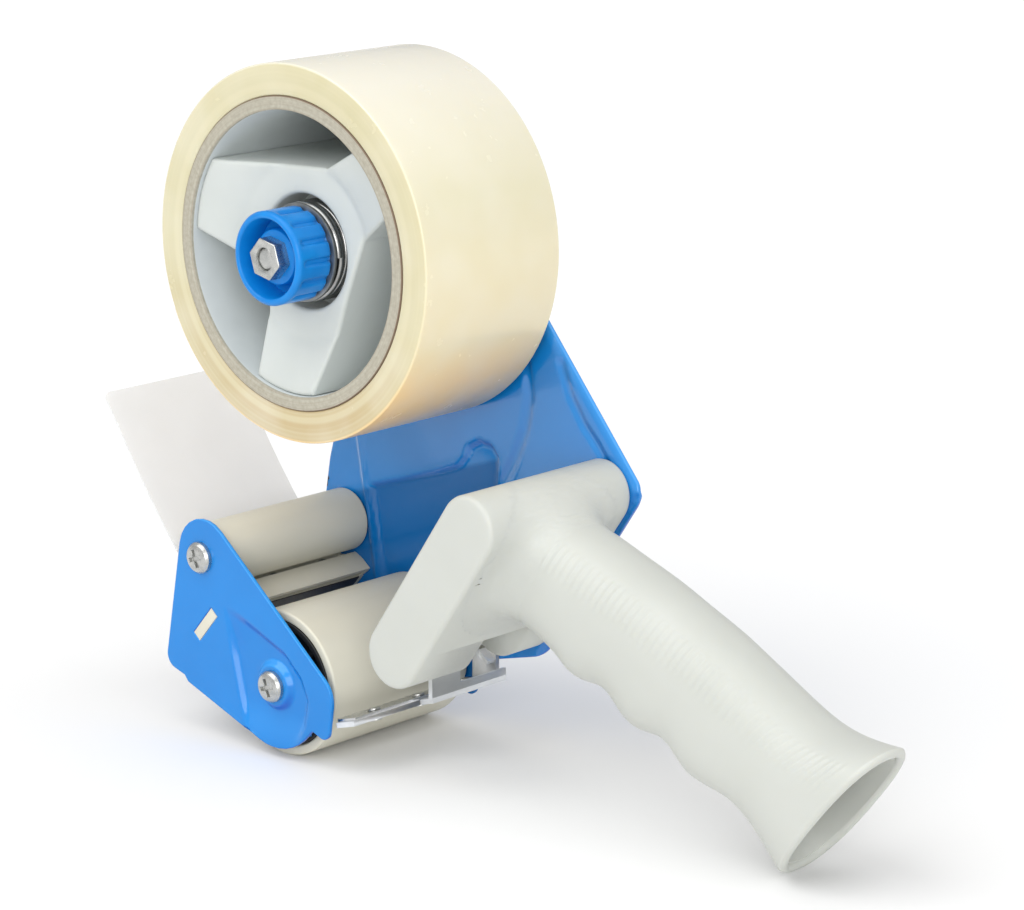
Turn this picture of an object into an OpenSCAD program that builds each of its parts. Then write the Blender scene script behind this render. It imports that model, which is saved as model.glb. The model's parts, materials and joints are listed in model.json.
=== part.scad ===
// Hand-held packing tape dispenser with a pistol grip.
// X runs from the flap at the front to the grip at the back, Y runs across the tape, Z is up.
// The origin is on the table, under the middle of the dispenser. Section points are [x, z] from the hub axis.

/* [Tape roll] */
// Outside diameter of the tape roll
tape_od = 101; // [90:1:106]
// Width of the tape
tape_w = 50; // [48:1:50]
// Inside diameter of the cardboard core
core_id = 76.2; // [76:0.1:76.4]
// Wall of the cardboard core
core_wall = 3.7; // [3:0.1:4]

/* [Frame] */
// Clear width between the two side plates
inner_gap = 55; // [55:0.5:56]
// Thickness of the steel side plates
plate_t = 1.2; // [1:0.1:1.5]
// Distance from the middle of the tape to the inside of the main plate
main_face_y = 28.7; // [28.5:0.1:29]

/* [Rollers] */
// Diameter of the application roller
roller_d = 40.6; // [39:0.2:40.6]
// Diameter of the guide roller
guide_d = 18; // [16:0.5:18]
// Diameter of both roller axles
axle_d = 8; // [7:0.5:8]

/* [Handle] */
// Thickness of the handle's head
head_t = 18.1; // [17:0.1:18.1]
// Width of the grip across the hand
grip_w = 28; // [26:1:30]
// Wall of the hollow grip
grip_wall = 3; // [2.6:0.2:3.4]
// Distance between two finger grooves
finger_pitch = 22; // [21:0.1:23]
// Depth of the finger grooves
finger_depth = 3.1; // [0:0.1:3.2]

/* [Knob] */
// Diameter of the tension knob
knob_d = 25.6; // [24:0.2:26]
// Number of flutes round the knob
knob_flutes = 14; // [10:1:18]

/* [Cutter] */
// Distance between two teeth of the blade
tooth_pitch = 2.9; // [2:0.1:4]
// Height of a tooth
tooth_h = 2; // [1:0.1:2]

/* [Hidden] */
$fn = 96;
eps = 0.01;
fit = 0.05;

// Place of the hub axis: the origin is on the table, under the middle of the dispenser
hub_x = -52;
hub_h = 140;

// Planes across the dispenser
main_out_y = main_face_y + plate_t;
front_face_y = main_face_y - inner_gap;
front_out_y = front_face_y - plate_t;
frame_mid_y = (main_face_y + front_face_y) / 2;
tape_y = tape_w / 2;

// Axes of the two rollers
roller_at = [-6.7, -119.7];
guide_at = [-34.6, -88.75];
roller_end_gap = 0.5;
roller_shell_t = 2.7;
roller_chamfer = 0.8;
guide_chamfer = 0.6;
end_recess = 2;
roller_y0 = front_face_y + roller_end_gap;
roller_y1 = main_face_y - roller_end_gap;

// Pan-head screws of the roller axles and of the handle
screw_r = 2;
screw_head_r = 4.4;
screw_head_h = 2.4;
axle_screw_l = 10;
tapped_depth = axle_screw_l + 1;
small_screw_r = 1.5;
small_head_r = 2.8;
small_head_h = 1.6;

// The head of the handle is a round-ended bar between these two axes
head_low = [36.8, -102.4];
head_high = [64, -63];
head_r = head_t / 2;
head_y0 = -25.2;
head_dir = (head_high - head_low) / norm(head_high - head_low);
head_wall = 2.8;
head_slot_y = [-3, 15.5];
head_slot_top = -100.5;
handle_screw_spots = [0.12, 0.88];
handle_screw_l = 14;

// The straight line of the clear flap, from its free tip down to the tape guide
flap_tip = [-77.05, -49.8];
flap_angle = -53.3;
flap_dir = [cos(flap_angle), sin(flap_angle)];
flap_face = [-flap_dir[1], flap_dir[0]];
flap_t = 0.4;
flap_hinge_s = 61.85;
flap_y = 24.9;
strip_s0 = 62.5;
strip_s1 = 70.3;
rivet_s = 66.4;
rivet_r = 1.3;
rivet_head_r = 2.3;
rivet_head_h = 0.75;
rivet_back = -2;
rivet_front = 2.6;
flap_rivet_ys = [-18, frame_mid_y, 20.4];

// Layers at the flap's foot, out from the middle of the sheet: the guide's backing strip and the clamp strip
backing_out = [0.25, 1.7];
clamp_out = [-1.2, -0.25];

// The web of the tape guide, whose ends stand in slots of the plates
web_mid = [-33.45, -107.8];
web_angle = 49;
web_l = 11;
web_t = 3;

// The blade lies on its bracket; both slope up towards the handle
blade_tip = [14.3, -126];
blade_angle = 16.6;
blade_t = 0.8;
blade_depth = 9;
bracket_t = 1.4;
bracket_long = 13.9;
bracket_mid_y = -0.5;
leg_w = 11;
blade_rivet_ys = [-15, 2, 20];
blade_rivet_x = 6;
blade_rivet_r = 1;
blade_rivet_head_r = 1.8;
blade_rivet_head_h = 0.55;
wall_screws = [[19.8, -116.2], [22.4, -110.9]];
tab_screws = [3.5, 9.5];
tab_screw_y = bracket_mid_y + leg_w / 2;

// Spindle, hub and knob, along the hub axis
bolt_r = 3;
hex_r = 10 / 2 / cos(30);
spindle_tip_y = -33.4;
nut_y0 = -34;
bolt_head_h = -nut_y0 - main_out_y;
nut_h = 5;
sleeve_r = 6;
hub_back_y = main_face_y - 1.6;
hub_front_y = -19.3;
hub_lip_y = -23.9;
hub_lip_r0 = 24;
hub_inner_scale = 0.88;
hub_r = core_id / 2 - 0.15;
recess_r = 15.4;
recess_floor_y = -9.3;
flange_y = tape_y + 0.1;
flange_r = core_id / 2 + core_wall;
washer_r = 14.2;
friction_washer_r = 16;
spring_wire_r = 1.1;
spring_r = 12.4;
spring_turns = 3.5;
spring_y0 = -20.1;
spring_y1 = -10.95;
knob_y0 = -33.3;
knob_y1 = -21.25;

// Section of the hub: three broad lobes that reach the core, and three pockets between them
lobe_spans = [[22, 52], [145, 177], [247, 280]];
pocket_corners = [[[9, 23.2], [-26, 21.7]], [[-24, -4], [-14.5, -16]], [[15, -12], [22, 5.5]]];

steel = [0.78, 0.79, 0.80];
zinc = [0.72, 0.75, 0.73];
blue = [0.10, 0.42, 0.85];
beige = [0.78, 0.75, 0.67];
black = [0.05, 0.05, 0.06];
clear = [0.95, 0.95, 0.95, 0.6];
light_grey = [0.87, 0.88, 0.85];

// Outline of the small plate from its top corner, clockwise: [x, z, corner radius]
front_plate_corners = [[-40.3, -69.1, 10.2], [16.9, -116.6, 8], [14.8, -131.6, 2.6], [8.6, -129.2, 0.8],
    [6.7, -131.2, 0.6], [-1, -140.4, 17.7], [-41.2, -126.1, 0.5], [-42.6, -124.4, 0.5], [-50.2, -122.2, 4]];
// Outline of the big plate below its round top, clockwise
main_plate_corners = [[76.6, -62.3, 6], [41, -114, 8], [20.5, -119.4, 5],
    [14.8, -131.6, 2.6], [8.6, -129.2, 0.8], [6.7, -131.2, 0.6], [-1, -140.4, 17.7], [-41.2, -126.1, 0.5],
    [-42.6, -124.4, 0.5], [-50.2, -122.2, 4], [-41.6, -72, 30]];
main_plate_top_r = 19.3;

function unit(v) = v / norm(v);

// The round end of one corner, or the corner itself where its radius is 0
function corner_points(before, at, after, steps = 8) =
    let (b = [at[0], at[1]], r = at[2])
    r == 0 ? [b] :
    let (
        u = unit([before[0], before[1]] - b),
        v = unit([after[0], after[1]] - b),
        half = acos(u * v) / 2,
        c = b + unit(u + v) * r / sin(half),
        s = b + u * r / tan(half) - c,
        e = b + v * r / tan(half) - c,
        start = atan2(s[1], s[0]),
        turn = atan2(s[0] * e[1] - s[1] * e[0], s * e)
    )
    [for (i = [0 : steps]) let (a = start + turn * i / steps) c + r * [cos(a), sin(a)]];

function rounded_outline(corners) =
    let (n = len(corners))
    [for (i = [0 : n - 1]) each corner_points(corners[(i + n - 1) % n], corners[i], corners[(i + 1) % n])];

// The big plate's outline: its straight sides run up to the round top as tangents
function main_plate_outline() =
    let (
        r = main_plate_top_r,
        right = main_plate_corners[0],
        left = main_plate_corners[len(main_plate_corners) - 1],
        from = atan2(left[1], left[0]) - acos(r / norm([left[0], left[1]])),
        to = atan2(right[1], right[0]) + acos(r / norm([right[0], right[1]])) - 360,
        steps = 24,
        top = [for (i = [0 : steps]) let (a = from + (to - from) * i / steps) [r * cos(a), r * sin(a), 0]]
    )
    rounded_outline(concat(top, main_plate_corners));

// A cubic curve from a to d, drawn towards b and c
function curve(a, b, c, d, steps = 8) =
    [for (i = [0 : steps]) let (t = i / steps, k = 1 - t)
        k * k * k * a + 3 * k * k * t * b + 3 * k * t * t * c + t * t * t * d];

// Everything is drawn round the hub axis and then set on the table
module at_hub() {
    translate([hub_x, 0, hub_h]) children();
}

// A section in X and Z, drawn out from y0 to y1
module across(y0, y1) {
    translate([0, y1, 0]) rotate([90, 0, 0]) linear_extrude(y1 - y0) children();
}

// A round bar along Y at the point p
module bar(p, r, y0, y1) {
    translate([p[0], y0, p[1]]) rotate([-90, 0, 0]) cylinder(r = r, h = y1 - y0);
}

// A turned shape along Y at the point p: its profile is drawn as [radius, y]
module turned(p) {
    translate([p[0], 0, p[1]]) rotate([-90, 0, 0]) rotate_extrude() children();
}

module hex_bar(r, y0, y1) {
    translate([0, y0, 0]) rotate([-90, 0, 0]) rotate([0, 0, 12]) cylinder(r = r, h = y1 - y0, $fn = 6);
}

module ring(p, r_out, r_in, y0, y1) {
    difference() {
        bar(p, r_out, y0, y1);
        bar(p, r_in, y0 - eps, y1 + eps);
    }
}

// A pan-head screw along Z: the head's underside is at z = 0 and the shank goes down
module pan_screw(shank_r, shank_l, head_r, head_h) {
    difference() {
        union() {
            rotate_extrude()
                polygon([[0, 0], [head_r, 0], [head_r, 0.45 * head_h], [0.86 * head_r, 0.78 * head_h],
                    [0.6 * head_r, 0.95 * head_h], [0, head_h]]);
            translate([0, 0, -shank_l]) cylinder(r = shank_r, h = shank_l + 0.3 * head_h);
        }
        for (turn = [0, 90])
            rotate([0, 0, turn + 20])
                translate([-0.58 * head_r, -0.13 * head_r, 0.45 * head_h])
                    cube([1.16 * head_r, 0.26 * head_r, head_h]);
    }
}

// Screws of the frame: side -1 has its head outside the small plate, side 1 outside the main plate
module frame_screw(p, side, shank_r, shank_l, head_r, head_h) {
    translate([p[0], side < 0 ? front_out_y : main_out_y, p[1]])
        rotate([side < 0 ? 90 : -90, 0, 0]) pan_screw(shank_r, shank_l, head_r, head_h);
}

function head_point(t) = head_low + t * (head_high - head_low);
function web_corner(along, up) =
    web_mid + along * [cos(web_angle), sin(web_angle)] + up * [-sin(web_angle), cos(web_angle)];
function web_section(grow) =
    let (l = web_l / 2 + grow, t = web_t / 2 + grow)
    [web_corner(-l, -t), web_corner(l, -t), web_corner(l, t), web_corner(-l, t)];
function flap_point(s, out) = flap_tip + s * flap_dir + out * flap_face;
function flap_strip(s0, s1, out0, out1) =
    [flap_point(s0, out0), flap_point(s1, out0), flap_point(s1, out1), flap_point(s0, out1)];

module plate_holes(y0, y1) {
    for (p = [roller_at, guide_at]) bar(p, screw_r + fit, y0, y1);
    across(y0, y1) polygon(web_section(0.1));
}

module main_side_plate() {
    color(blue) at_hub() difference() {
        across(main_face_y, main_out_y) polygon(main_plate_outline());
        plate_holes(main_face_y - 1, main_out_y + 1);
        bar([0, 0], bolt_r + fit, main_face_y - 1, main_out_y + 1);
        for (t = handle_screw_spots) bar(head_point(t), screw_r + fit, main_face_y - 1, main_out_y + 1);
        for (p = wall_screws) bar(p, small_screw_r + fit, main_face_y - 1, main_out_y + 1);
    }
}

module front_side_plate() {
    color(blue) at_hub() difference() {
        across(front_out_y, front_face_y) polygon(rounded_outline(front_plate_corners));
        plate_holes(front_out_y - 1, front_face_y + 1);
    }
}

module head_section(r) {
    side = r * [-head_dir[1], head_dir[0]];
    polygon([head_low - side, head_high - side, head_high + side, head_low + side]);
    translate(head_low) circle(r = r);
    translate(head_high) circle(r = r);
}

// The grip is a loft: each ring stands between a point of the straight back and one of the finger side
groove_line = [80.2, -100.9];
groove_angle = -23.95;
groove_phase = -58;
groove_dir = [cos(groove_angle), sin(groove_angle)];
groove_up = [-groove_dir[1], groove_dir[0]];
groove_l = 2.22 * finger_pitch;
neck_steps = 5;
groove_steps = 20;
flare_steps = 8;
function groove_point(s) =
    let (wave = cos(groove_phase) - cos(groove_phase + 360 * s / finger_pitch))
    groove_line + s * groove_dir + finger_depth / 2 * wave * groove_up;
back_line = concat(curve([61, -60], [73.9, -61], [83.8, -64.4], [92.9, -67.6], neck_steps),
    curve([92.9, -67.6], [110.1, -73.7], [125.3, -80.2], [140.8, -88.8], groove_steps),
    curve([140.8, -88.8], [159.4, -99.3], [163.3, -102.9], [181.3, -102.1], flare_steps));
finger_line = concat(curve([48.1, -87.9], [61.7, -90.3], [74.3, -95.4], groove_line, neck_steps),
    [for (i = [0 : groove_steps]) groove_point(groove_l * i / groove_steps)],
    curve(groove_point(groove_l), [133.4, -123.9], [137, -120], [152.3, -139.7], flare_steps));
doubled = [neck_steps + 1, neck_steps + groove_steps + 2];
ring_ids = [for (i = [0 : len(back_line) - 1]) if (i != doubled[0] && i != doubled[1]) i];
ring_points = 24;
oval_power = 2 / 2.4;

function signed_power(v) = sign(v) * pow(abs(v), oval_power);

// One oval ring of the grip, moved in by the wall, and out past the end by the given length
function grip_ring(id, wall, past) =
    let (t = back_line[id], b = finger_line[id], up_dir = unit(t - b), centre = (t + b) / 2,
        half_h = norm(t - b) / 2 - wall, half_w = grip_w / 2 - wall, out = past * [up_dir[1], -up_dir[0]])
    [for (j = [0 : ring_points - 1]) let (a = 360 * j / ring_points,
        p = centre + out + half_h * signed_power(cos(a)) * up_dir)
        [p[0], frame_mid_y + half_w * signed_power(sin(a)), p[1]]];

module loft(rings) {
    n = ring_points;
    last = len(rings) - 1;
    sides = [for (i = [0 : last - 1], j = [0 : n - 1]) let (k = (j + 1) % n)
        each [[i * n + j, i * n + k, (i + 1) * n + j], [i * n + k, (i + 1) * n + k, (i + 1) * n + j]]];
    first_cap = [for (j = [n - 1 : -1 : 0]) j];
    last_cap = [for (j = [0 : n - 1]) last * n + j];
    polyhedron([for (ring = rings) each ring], concat(sides, [first_cap, last_cap]));
}

module grip_body() {
    loft([for (id = ring_ids) grip_ring(id, 0, 0)]);
}

// The grip is open at its butt, and hollow up to the ring that hollow_from counts
hollow_from = 8;
hollow_step = 3;
mouth_lip = 0.4;
module grip_hollow() {
    last = len(back_line) - 1;
    inner = [for (i = [hollow_from : hollow_step : len(ring_ids) - 2]) grip_ring(ring_ids[i], grip_wall, 0)];
    mouth_wall = grip_wall - mouth_lip;
    loft(concat(inner, [grip_ring(last, mouth_wall, 0.5), grip_ring(last, mouth_wall, 4)]));
}

module bracket_tab_holes() {
    for (s = tab_screws)
        translate([head_low[0], tab_screw_y, head_low[1]]) rotate([0, -atan2(head_dir[1], head_dir[0]), 0])
            translate([s, 0, 0]) cylinder(r = small_screw_r + fit, h = 3 * head_r);
}

// The slot under the head leaves room for the bracket
module head_slot() {
    translate([head_low[0] - 2 * head_r, head_slot_y[0], head_slot_top - 2 * head_r])
        cube([4 * head_r, head_slot_y[1] - head_slot_y[0], 2 * head_r]);
}

module handle() {
    color(light_grey) at_hub() difference() {
        union() {
            across(head_y0, main_face_y) head_section(head_r);
            grip_body();
        }
        difference() {
            across(head_y0 + head_wall, main_face_y + 1) head_section(head_r - head_wall);
            for (t = handle_screw_spots) bar(head_point(t), 2 * screw_r, head_y0, main_face_y);
        }
        for (t = handle_screw_spots)
            bar(head_point(t), screw_r + fit, main_face_y - handle_screw_l - 2, main_face_y + 1);
        grip_hollow();
        bracket_tab_holes();
        head_slot();
    }
}

module handle_screws() {
    color(steel) at_hub() for (t = handle_screw_spots)
        frame_screw(head_point(t), 1, screw_r, handle_screw_l, screw_head_r, screw_head_h);
}

module application_roller() {
    r = roller_d / 2;
    color(beige) at_hub() turned(roller_at)
        polygon([[r - roller_shell_t, roller_y0], [r - roller_chamfer, roller_y0],
            [r, roller_y0 + roller_chamfer], [r, roller_y1 - roller_chamfer],
            [r - roller_chamfer, roller_y1], [r - roller_shell_t, roller_y1]]);
}

module application_roller_core() {
    r = roller_d / 2 - roller_shell_t - fit;
    bore = axle_d / 2 + fit;
    y0 = roller_y0 + 1;
    y1 = roller_y1 - 1;
    wall = 3;
    color(black) at_hub() turned(roller_at)
        polygon([[bore, y0], [r, y0], [r, y0 + wall], [bore + wall, y0 + wall], [bore + wall, y1 - wall],
            [r, y1 - wall], [r, y1], [bore, y1]]);
}

// A steel axle between the plates, tapped at both ends
module axle(p) {
    difference() {
        bar(p, axle_d / 2, front_face_y, main_face_y);
        bar(p, screw_r + fit, front_face_y - 1, front_face_y + tapped_depth);
        bar(p, screw_r + fit, main_face_y - tapped_depth, main_face_y + 1);
    }
}

module application_roller_axle() {
    color(steel) at_hub() axle(roller_at);
}

module guide_roller() {
    r = guide_d / 2;
    bore = axle_d / 2 + fit;
    rim = bore + end_recess;
    color(beige) at_hub() turned(guide_at)
        polygon([[bore, roller_y0 + end_recess], [rim, roller_y0 + end_recess], [rim, roller_y0],
            [r - guide_chamfer, roller_y0], [r, roller_y0 + guide_chamfer], [r, roller_y1 - guide_chamfer],
            [r - guide_chamfer, roller_y1], [rim, roller_y1], [rim, roller_y1 - end_recess],
            [bore, roller_y1 - end_recess]]);
}

module guide_roller_axle() {
    color(steel) at_hub() axle(guide_at);
}

module roller_axle_screws() {
    color(steel) at_hub() for (p = [roller_at, guide_at], side = [-1, 1])
        frame_screw(p, side, screw_r, axle_screw_l, screw_head_r, screw_head_h);
}

// A rivet across the flap, with a flat head on both sides
module flap_rivet(y, r, head_r) {
    place = flap_point(rivet_s, 0);
    translate([place[0], y, place[1]]) rotate([0, 90 - atan2(flap_face[1], flap_face[0]), 0]) {
        translate([0, 0, rivet_back]) cylinder(r = r, h = rivet_front - rivet_back);
        if (head_r > 0) {
            translate([0, 0, rivet_back]) cylinder(r = head_r, h = rivet_head_h);
            translate([0, 0, rivet_front - rivet_head_h]) cylinder(r = head_r, h = rivet_head_h);
        }
    }
}

// The web, the curved lip behind it and the flap's backing strip, joined by a cheek at each end
module tape_guide() {
    cheek_t = 1.2;
    shell = [[-31.4, -98.1], [-28.4, -99.6], [-25.4, -101.9],
        [-26.3, -102.9], [-29.2, -100.7], [-32, -99.3]];
    cheek = [web_corner(-web_l / 2, -web_t / 2), web_corner(web_l / 2, -web_t / 2),
        shell[3], shell[2], shell[1], shell[0], shell[5],
        [-33, -99.5], [-37, -99.9], flap_point(strip_s0, backing_out[1]),
        flap_point(strip_s1, backing_out[0]), web_corner(-web_l / 2, web_t / 2)];
    color(beige) at_hub() difference() {
        union() {
            across(front_out_y + 0.1, main_out_y - 0.1) polygon(web_section(0));
            across(front_face_y + 0.1, main_face_y - 0.1) polygon(shell);
            across(front_face_y + 0.1, main_face_y - 0.1)
                polygon(flap_strip(strip_s0, strip_s1 + 1, backing_out[0], backing_out[1]));
            across(front_face_y + 0.1, front_face_y + cheek_t) polygon(cheek);
            across(main_face_y - cheek_t, main_face_y - 0.1) polygon(cheek);
        }
        for (y = flap_rivet_ys) flap_rivet(y, rivet_r + fit, 0);
    }
}

module flap_clamp_strip() {
    color(zinc) at_hub() difference() {
        across(-flap_y + 1, flap_y) polygon(flap_strip(strip_s0, strip_s1, clamp_out[0], clamp_out[1]));
        for (y = flap_rivet_ys) flap_rivet(y, rivet_r + fit, 0);
    }
}

module flap_rivets() {
    color(steel) at_hub() for (y = flap_rivet_ys) flap_rivet(y, rivet_r, rivet_head_r);
}

module flap_clamped_edge() {
    color(clear) at_hub() difference() {
        across(-flap_y, flap_y) polygon(flap_strip(flap_hinge_s + 0.15, strip_s1, -flap_t / 2, flap_t / 2));
        for (y = flap_rivet_ys) flap_rivet(y, rivet_r + fit, 0);
    }
}

module tape_flap() {
    l = flap_hinge_s - 0.15;
    corner = 2;
    sheet = [[0, -flap_y, corner], [l, -flap_y, 0], [l, flap_y, 0], [0, flap_y, corner]];
    color(clear) at_hub() translate([flap_tip[0], 0, flap_tip[1]])
        rotate([0, -flap_angle, 0]) translate([0, 0, -flap_t / 2]) linear_extrude(flap_t)
            polygon(rounded_outline(sheet));
}

// Places a shape on the sloping blade: x goes back from the tips, z stands on the bracket
module on_blade() {
    translate([blade_tip[0], 0, blade_tip[1]]) rotate([0, -blade_angle, 0]) children();
}

module blade_holes() {
    for (y = blade_rivet_ys)
        on_blade() translate([blade_rivet_x, y, -3]) cylinder(r = blade_rivet_r + fit, h = 6);
}

module cutter_blade() {
    teeth = floor((roller_y1 - roller_y0) / tooth_pitch);
    y0 = (roller_y0 + roller_y1 - teeth * tooth_pitch) / 2;
    edge = [for (i = [0 : teeth - 1])
        each [[tooth_h, y0 + i * tooth_pitch], [0, y0 + (i + 0.5) * tooth_pitch]]];
    y1 = y0 + teeth * tooth_pitch;
    color(steel) at_hub() difference() {
        on_blade() linear_extrude(blade_t)
            polygon(concat(edge, [[tooth_h, y1], [blade_depth, y1], [blade_depth, y0]]));
        blade_holes();
    }
}

module blade_rivets() {
    below = -bracket_t - fit - blade_rivet_head_h;
    above = blade_t + fit;
    color(steel) at_hub() on_blade() for (y = blade_rivet_ys) translate([blade_rivet_x, y, 0]) {
        translate([0, 0, below]) cylinder(r = blade_rivet_r, h = above + blade_rivet_head_h - below);
        translate([0, 0, below]) cylinder(r = blade_rivet_head_r, h = blade_rivet_head_h);
        translate([0, 0, above]) cylinder(r = blade_rivet_head_r, h = blade_rivet_head_h);
    }
}

// A bent strip: the tab on the head's front, the leg below it
function tab_point(s, out) =
    head_low + s * head_dir + (head_r + out) * [-head_dir[1], head_dir[0]];
module blade_bracket() {
    leg_x = head_low[0] - head_r - 0.15;
    leg = [[leg_x - bracket_t, -122.6], [leg_x, -122.3], [leg_x, head_low[1]], [leg_x + 0.3, -99.8],
        tab_point(0, 0.1), tab_point(13, 0.1), tab_point(13, bracket_t), tab_point(0.5, bracket_t),
        [leg_x - bracket_t, -100.8]];
    wall = [[16, -126.3], [25, -123.6], [25, -107.5], [22, -104.2], [16.2, -113]];
    strap = [[16.6, -113.9], [17.5, -112.9], [24.9, -117.9], [24.1, -119]];
    lip = [[leg_x - bracket_t, -122.6], [leg_x, -122.3], [leg_x, -120], [leg_x - bracket_t, -120.3]];
    strap_w = 3;
    flange_l = 7;
    wall_y = main_face_y - bracket_t;
    color(zinc) at_hub() difference() {
        union() {
            on_blade() {
                translate([tooth_h, roller_y0, -bracket_t])
                    cube([flange_l, roller_y1 - roller_y0, bracket_t]);
                translate([tooth_h, bracket_mid_y, -bracket_t])
                    cube([bracket_long - tooth_h, main_face_y - bracket_mid_y - 0.05, bracket_t]);
            }
            across(bracket_mid_y, bracket_mid_y + leg_w) polygon(leg);
            across(bracket_mid_y, main_face_y - 0.05) polygon(lip);
            across(wall_y, main_face_y - 0.05) polygon(wall);
            across(wall_y - strap_w, wall_y + eps) polygon(strap);
        }
        blade_holes();
        bracket_tab_holes();
        for (p = wall_screws) bar(p, small_screw_r + fit, wall_y - 4, main_face_y + 1);
    }
}

module bracket_screws() {
    tilt = atan2(head_dir[1], head_dir[0]);
    tab_screw_l = 6;
    wall_screw_l = 2.5;
    color(steel) at_hub() {
        for (s = tab_screws) translate([head_low[0], tab_screw_y, head_low[1]]) rotate([0, -tilt, 0])
            translate([s, 0, head_r + bracket_t + 0.05])
                pan_screw(small_screw_r, tab_screw_l, small_head_r, small_head_h);
        for (p = wall_screws) frame_screw(p, 1, small_screw_r, wall_screw_l, small_head_r, small_head_h);
    }
}

module spindle_bolt() {
    color(steel) at_hub() {
        bar([0, 0], bolt_r, spindle_tip_y + 0.5, main_out_y + eps);
        turned([0, 0])
            polygon([[0, spindle_tip_y], [bolt_r - 0.5, spindle_tip_y],
                [bolt_r, spindle_tip_y + 0.5], [0, spindle_tip_y + 0.5]]);
        hex_bar(hex_r, main_out_y, main_out_y + bolt_head_h);
    }
}

module spindle_sleeve() {
    color(steel) at_hub() ring([0, 0], sleeve_r, bolt_r + fit, recess_floor_y - 0.1, main_face_y);
}

module friction_washer() {
    color([0.35, 0.28, 0.22]) at_hub()
        ring([0, 0], friction_washer_r, sleeve_r + fit, hub_back_y + 0.1, main_face_y);
}

module pressure_washer() {
    color(steel) at_hub() ring([0, 0], washer_r, bolt_r + fit, spring_y1 + fit, recess_floor_y - 0.15);
}

// One closed coil, swept round the axis with a ring of points at each step
module tension_spring() {
    sides = 8;
    steps = 84;
    rise = spring_y1 - spring_y0 - 2 * spring_wire_r;
    points = [for (i = [0 : steps], j = [0 : sides - 1])
        let (a = 360 * spring_turns * i / steps, b = 360 * j / sides,
            r = spring_r + spring_wire_r * cos(b),
            y = spring_y0 + spring_wire_r * (1 + sin(b)) + rise * i / steps)
        [r * cos(a), y, r * sin(a)]];
    sidewalls = [for (i = [0 : steps - 1], j = [0 : sides - 1])
        let (k = (j + 1) % sides)
        [i * sides + j, i * sides + k, (i + 1) * sides + k, (i + 1) * sides + j]];
    first_end = [for (j = [sides - 1 : -1 : 0]) j];
    last_end = [for (j = [0 : sides - 1]) steps * sides + j];
    color(steel) at_hub() polyhedron(points, concat([first_end], sidewalls, [last_end]));
}

module knob_washer() {
    color(steel) at_hub() ring([0, 0], washer_r - 1, bolt_r + fit, knob_y1 + fit, spring_y0 - fit);
}

module tension_knob() {
    r = knob_d / 2;
    color(blue) at_hub() difference() {
        turned([0, 0]) polygon([[bolt_r + 0.3, knob_y0 + 3], [7.4, knob_y0 + 3], [7.4, knob_y0 + 8.3],
            [r - 2.2, knob_y0 + 8.3], [r - 2.2, knob_y0], [r - 0.8, knob_y0], [r, knob_y0 + 0.8],
            [r, knob_y1 - 0.4], [r - 0.4, knob_y1], [bolt_r + 0.3, knob_y1]]);
        hex_bar(hex_r + 2 * fit, knob_y0, nut_y0 + nut_h + fit);
        for (i = [0 : knob_flutes - 1]) rotate([0, 360 * i / knob_flutes, 0])
            bar([r + 1.1, 0], 1.5, knob_y0 - 1, knob_y1 + 1);
    }
}

module knob_nut() {
    color(steel) at_hub() difference() {
        hex_bar(hex_r, nut_y0, nut_y0 + nut_h);
        bar([0, 0], bolt_r + fit, nut_y0 - 1, nut_y0 + nut_h + 1);
    }
}

function on_circle(r, a) = r * [cos(a), sin(a)];

// The hub's section: an arc for each lobe, then the two corners of the pocket beside it
function hub_outline(k) = [for (i = [0 : len(lobe_spans) - 1])
    let (from = lobe_spans[i][0], to = lobe_spans[i][1], steps = 6)
    each concat([for (j = [0 : steps]) k * on_circle(hub_r, from + (to - from) * j / steps)],
        k * pocket_corners[i])];

module tape_hub() {
    boss_r = 9;
    cup_r = 18.4;
    cup_floor = recess_floor_y + 3;
    color(light_grey) at_hub() difference() {
        union() {
            across(hub_front_y, flange_y) polygon(hub_outline(1));
            intersection() {
                across(2 * hub_lip_y, hub_front_y + 1) polygon(hub_outline(1));
                turned([0, 0]) polygon([[hub_lip_r0, hub_front_y], [hub_r + 2, hub_lip_y],
                    [hub_r + 2, hub_front_y + 1], [hub_lip_r0, hub_front_y + 1]]);
            }
            bar([0, 0], flange_r, flange_y, hub_back_y);
        }
        bar([0, 0], recess_r, hub_front_y - 1, recess_floor_y);
        bar([0, 0], sleeve_r + fit, recess_floor_y - 1, hub_back_y + 1);
        difference() {
            across(hub_front_y + 4, hub_back_y + 1) polygon(hub_outline(hub_inner_scale));
            bar([0, 0], cup_r, hub_front_y, cup_floor);
            bar([0, 0], boss_r, cup_floor - 1, hub_back_y + 1);
        }
    }
}

module cardboard_core() {
    color([0.80, 0.76, 0.70]) at_hub() ring([0, 0], core_id / 2 + core_wall, core_id / 2, -tape_y, tape_y);
}

module tape_roll() {
    color([0.91, 0.86, 0.67]) at_hub()
        ring([0, 0], tape_od / 2, core_id / 2 + core_wall + fit, -tape_y, tape_y);
}

main_side_plate();
front_side_plate();
handle();
handle_screws();
application_roller();
application_roller_core();
application_roller_axle();
guide_roller();
guide_roller_axle();
roller_axle_screws();
tape_guide();
flap_clamp_strip();
flap_rivets();
flap_clamped_edge();
tape_flap();
cutter_blade();
blade_rivets();
blade_bracket();
bracket_screws();
spindle_bolt();
spindle_sleeve();
friction_washer();
pressure_washer();
tension_spring();
knob_washer();
tension_knob();
knob_nut();
tape_hub();
cardboard_core();
tape_roll();
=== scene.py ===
"""The looks of a hand-held packing tape dispenser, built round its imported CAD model.

Sections are [x, z] in millimetres from the hub's axis, and y runs across the tape, as in the CAD model.
"""
import json
import math

import bmesh
import bpy
import numpy as np
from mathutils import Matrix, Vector
from mathutils.geometry import delaunay_2d_cdt


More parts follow.
